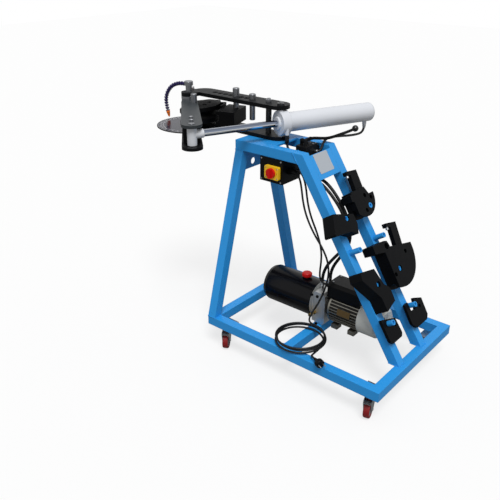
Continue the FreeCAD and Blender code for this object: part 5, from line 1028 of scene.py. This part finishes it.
rounded_plate("nameplate", plate_spot, 46, 41, 4, plate_alloy)
rivet_way = (math.cos(rack_lean), 0, math.sin(rack_lean))
rivets = [(plate_spot(x, y, SHEET), rivet_way) for x in (-47, 47) for y in (-32, 32)]
grown("nameplate_rivets", set_points(rivets), zinc_screws, "stand",
      Radius=0.0018, Height=0.0009, Socket=0.2)
rounded_plate("motor_tag", tag_spot, 30, 14, 2, tag_bronze)
print("nameplate with", len(rivets), "rivets, and a bare tag on the motor")

# %% Clamp screws of the spare half-round dies
HOOK_SCREW = [(-1, 4.6), (3, 4.6), (3, 6.2), (10, 6.2), (11, 5.4), (11, 2.6), (7, 2.6), (7, 0)]

for number, place in enumerate(((443.0, 352.6, 649.5), (592.5, 438.5, 441.2))):
    lathe("former_hook_screw_%d" % number, HOOK_SCREW, from_corner(*place), (0.53, -0.25, -0.81),
          zinc_steel, 24)
print("2 hook screws")

# %% [markdown]
# ## Degree disc
# The disc turns with the arm under a fixed pointer, so the bend can be read. Its scale is printed
# in white: a thin ring, a tick every two degrees, a longer one every ten, and plain numbers. The
# ticks follow a rule, so a tree makes them from a ring of points; the numbers are text made mesh.

# %% Ticks of the degree disc
PRINT = 0.00015
print_top = disc_high.z + PRINT


def tick_tree(name, material):
    tree, size = new_tree(name, Circle=0.14, Length=0.004, Width=0.0006, Count=36)
    ring = add(tree, "GeometryNodeMeshCircle", {}, {
        "Vertices": size["Count"], "Radius": size["Circle"]})
    outward = add(tree, "GeometryNodeInputPosition")
    turn = add(tree, "FunctionNodeAlignRotationToVector", {"axis": "X"}, {"Vector": outward})
    block = add(tree, "ShaderNodeCombineXYZ", {}, {"X": size["Length"], "Y": size["Width"], "Z": PRINT})
    tick = add(tree, "GeometryNodeMeshCube", {}, {"Size": block})
    return close_tree(tree, ring, tick, material, (*disc_middle.xy, print_top - PRINT / 2),
                      Rotation=turn)


disc_ticks = tick_tree("printed ticks", print_white)
for name, share, length, count, width in (("disc_fine_ticks", 0.965, 0.005, 180, 0.0005),
                                          ("disc_ten_ticks", 0.95, 0.009, 36, 0.0008)):
    grown(name, set_lines([]), disc_ticks, "swing_arm", Circle=disc_radius * share,
          Length=length, Count=count, Width=width)


# %% Rings and numbers
def stamp(shape, text, size, place, turn):
    """Add a flat text to a bmesh, centred on a place."""
    writing = bpy.data.curves.new("text", "FONT")
    writing.body = text
    writing.size = size
    writing.align_x = writing.align_y = "CENTER"
    label = placed("text", writing)
    flat = mesh_now(label)
    flat.transform(Matrix.Translation(place) @ turn)
    shape.from_mesh(flat)
    bpy.data.objects.remove(label)


def on_disc(share, sides):
    """Places in a circle on the disc's top, at a share of its radius."""
    return [Vector((disc_middle.x + x, disc_middle.y + y, print_top))
            for x, y in circle(disc_radius * share, sides)]


for name, outer, inner, material in (("disc_ring", 0.823, 0.815, print_white),
                                     ("disc_border", 0.9995, 0.984, print_dark)):
    shape = bmesh.new()
    skin(shape, [[shape.verts.new(place) for place in on_disc(share, 180)]
                 for share in (outer, inner)])
    piece_from(name, shape, material, "swing_arm")
numbers = bmesh.new()
for number, place in enumerate(on_disc(0.885, 36)):
    stamp(numbers, str(10 * min(number, 36 - number)), 0.0095, place,
          Matrix.Rotation(math.radians(10 * number + 90), 4, "Z"))
piece_from("disc_numbers", numbers, print_white, "swing_arm")
print("disc scale printed")

# %% [markdown]
# ## Ball link pointer
# The pointer is a chain of snap-together ball links, like a coolant hose: each link is a ball with
# a flared skirt that grips the next one. It follows the drawn route, so a tree sets links along
# the curve, each turned to the curve's way.

# %% Chain of links
POINTER_ROUTE = ((-369, 302, 157), (-384, 297.5, 161), (-410, 290, 162), (-431, 284, 157),
                 (-451, 278, 147), (-469, 273, 128), (-481, 269, 103), (-484.5, 268, 78),
                 (-482, 269, 54), (-478, 270, 34))


def link_tree(name, material):
    tree, size = new_tree(name, Links=19, Ball=0.0048, Skirt=0.0094, Neck=0.0066)
    steps = add(tree, "GeometryNodeCurveToPoints", {"mode": "COUNT"}, {
        "Curve": size["Geometry"], "Count": size["Links"]}).outputs
    ball = add(tree, "GeometryNodeMeshUVSphere", {}, {
        "Segments": 20, "Rings": 12, "Radius": size["Ball"]})
    skirt = add(tree, "GeometryNodeMeshCone", {}, {
        "Vertices": 24, "Side Segments": 2, "Radius Top": size["Neck"],
        "Radius Bottom": size["Skirt"], "Depth": 0.0060})
    lip = add(tree, "GeometryNodeMeshCylinder", {"fill_type": "NGON"}, {
        "Vertices": 24, "Radius": size["Skirt"], "Depth": 0.0030})
    lowered = add(tree, "GeometryNodeTransform", {}, {"Geometry": lip, "Translation": (0, 0, -0.0010)})
    link = add(tree, "GeometryNodeJoinGeometry")
    for part in (ball, skirt, lowered):
        tree.links.new(part.outputs[0], link.inputs[0])
    return close_tree(tree, steps["Points"], link, material, Rotation=steps["Rotation"])


pointer_points = [above_deck(*point) for point in POINTER_ROUTE]
pointer_line = smooth_line("pointer_line", pointer_points, 0, link_violet)
pointer_chain = grown("pointer_chain", pointer_line, link_tree("pointer links", link_violet), "stand")
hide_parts("pointer_hose")
print("pointer chain:", len(pointer_chain.data.polygons), "faces")

# %% Ends of the pointer
COLLAR = [(-1, 6.2), (-1, 8.8), (9, 8.8), (10, 7.8), (22, 5.4), (27, 4.4), (27, 2.4)]

lathe("pointer_nozzle_collar", COLLAR, pointer_points[-1], pointer_points[-1] - pointer_points[-2],
      nozzle_orange, 32)
for number, (x, y, rise) in enumerate(((-346.1, 308.2, 9), (-349.4, 295.6, 4))):
    screw = [(-rise, 4.2), (0.4, 4.2), (1.4, 3.6), (1.4, 1.8), (-1, 1.8), (-1, 0)]
    lathe("pointer_base_screw_%d" % number, screw, above_deck(x, y, 142 + rise), UP, zinc_steel, 32)
print("collar and 2 base screws")

# %% [markdown]
# ## Fittings
# Hexagon nuts hold the hoses on the valve and on the manifold, and a small brass relief valve
# stands out of the manifold's front. The drawing has plain round ones, so turned pieces with
# chamfers replace them.

# %% Nuts and the relief valve
NUT = [(0, 9.2), (1.2, 10.2), (12.8, 10.2), (14, 9.2), (14, 0)]
TALL_NUT = [(0, 9.2), (1.2, 10.2), (14.5, 10.2), (16, 9.0), (16, 0)]
RELIEF_NUT = [(0, 0), (0, 9), (1, 10), (7, 10), (8, 9), (8, 0)]
RELIEF_STEM = [(7, 0), (7, 6.4), (14, 6.4), (15, 5.4), (16, 6.4), (25, 6.4), (26, 8.6), (27, 9),
               (36, 9), (37.6, 8.0), (38, 6.5), (38, 0)]
relief_place = from_corner(392, 248, 56)

fittings = [lathe(*fitting) for fitting in (
    ("valve_hose_nut_0", NUT, above_deck(266, 286, -84), UP, zinc_steel, 6),
    ("valve_hose_nut_1", NUT, above_deck(288, 304, -84), UP, zinc_steel, 6),
    ("manifold_hose_nut_0", TALL_NUT, from_corner(396, 289, 155), UP, zinc_steel, 6),
    ("manifold_hose_nut_1", TALL_NUT, from_corner(420, 313, 155), UP, zinc_steel, 6),
    ("relief_valve_nut", RELIEF_NUT, relief_place, FRONTWARD, brass, 6),
    ("relief_valve_stem", RELIEF_STEM, relief_place, FRONTWARD, brass, 40))]
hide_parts("hose_fittings")
print(len(fittings), "fittings")

# %% [markdown]
# ## Filler cap, switch marks and lever ball
# The red filler cap has grip ribs round its rim, which a tree sets on a ring. The switch has its
# two plain marks, a stroke for on and a ring for off. The lever ends in a glossy phenolic ball
# pressed on the rod.

# %% Ribs of the filler cap
cap_low, cap_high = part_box("filler_cap")
RIB_DEPTH, RIB_DROP = 0.0004, 0.0085


def rib_tree(name, material):
    tree, size = new_tree(name, Circle=0.02, Height=0.01, Rib=0.0012, Count=28)
    ring = add(tree, "GeometryNodeMeshCircle", {}, {
        "Vertices": size["Count"], "Radius": size["Circle"]})
    rib = add(tree, "GeometryNodeMeshCylinder", {"fill_type": "NGON"}, {
        "Vertices": 10, "Radius": size["Rib"], "Depth": size["Height"]})
    return close_tree(tree, ring, rib, material, (*middle_of("filler_cap").xy, cap_high.z - RIB_DROP))


grown("cap_ribs", set_lines([]), rib_tree("cap ribs", switch_red), "cap",
      Circle=(cap_high.x - cap_low.x) / 2 - RIB_DEPTH, Height=0.0105)

# %% Marks of the switch
MARK_INSET, MARK_LIFT, MARK_SIZE = 0.0085, 0.0002, 0.011
plate_low, plate_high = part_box("switch_plate")
marks = bmesh.new()
for text, x in (("I", plate_high.x - MARK_INSET), ("0", plate_low.x + MARK_INSET)):
    stamp(marks, text, MARK_SIZE, (x, plate_low.y - MARK_LIFT, middle_of("switch_plate").z),
          Matrix.Rotation(math.pi / 2, 4, "X"))
piece_from("switch_marks", marks, print_black, "stand")
print("switch marked")

# %% Ball of the lever
BALL, BALL_INSET = 13.7, 0.0135
ball_middle = Vector((*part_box("valve_lever")[1].xy, middle_of("valve_lever").z))
ball_middle -= Vector((BALL_INSET, BALL_INSET, 0))
profile = [(-14.2, 6.6), (-13.2, 7.2), (-12.2, 6.6)]
profile += [(-BALL * math.cos(math.radians(a)), BALL * math.sin(math.radians(a)))
            for a in range(30, 180, 10)] + [(BALL, 0)]
lathe("lever_ball", profile, ball_middle, (0.02, 1, 0), knob_black, 48, "lever")
print("lever ball at", [round(c, 3) for c in ball_middle])
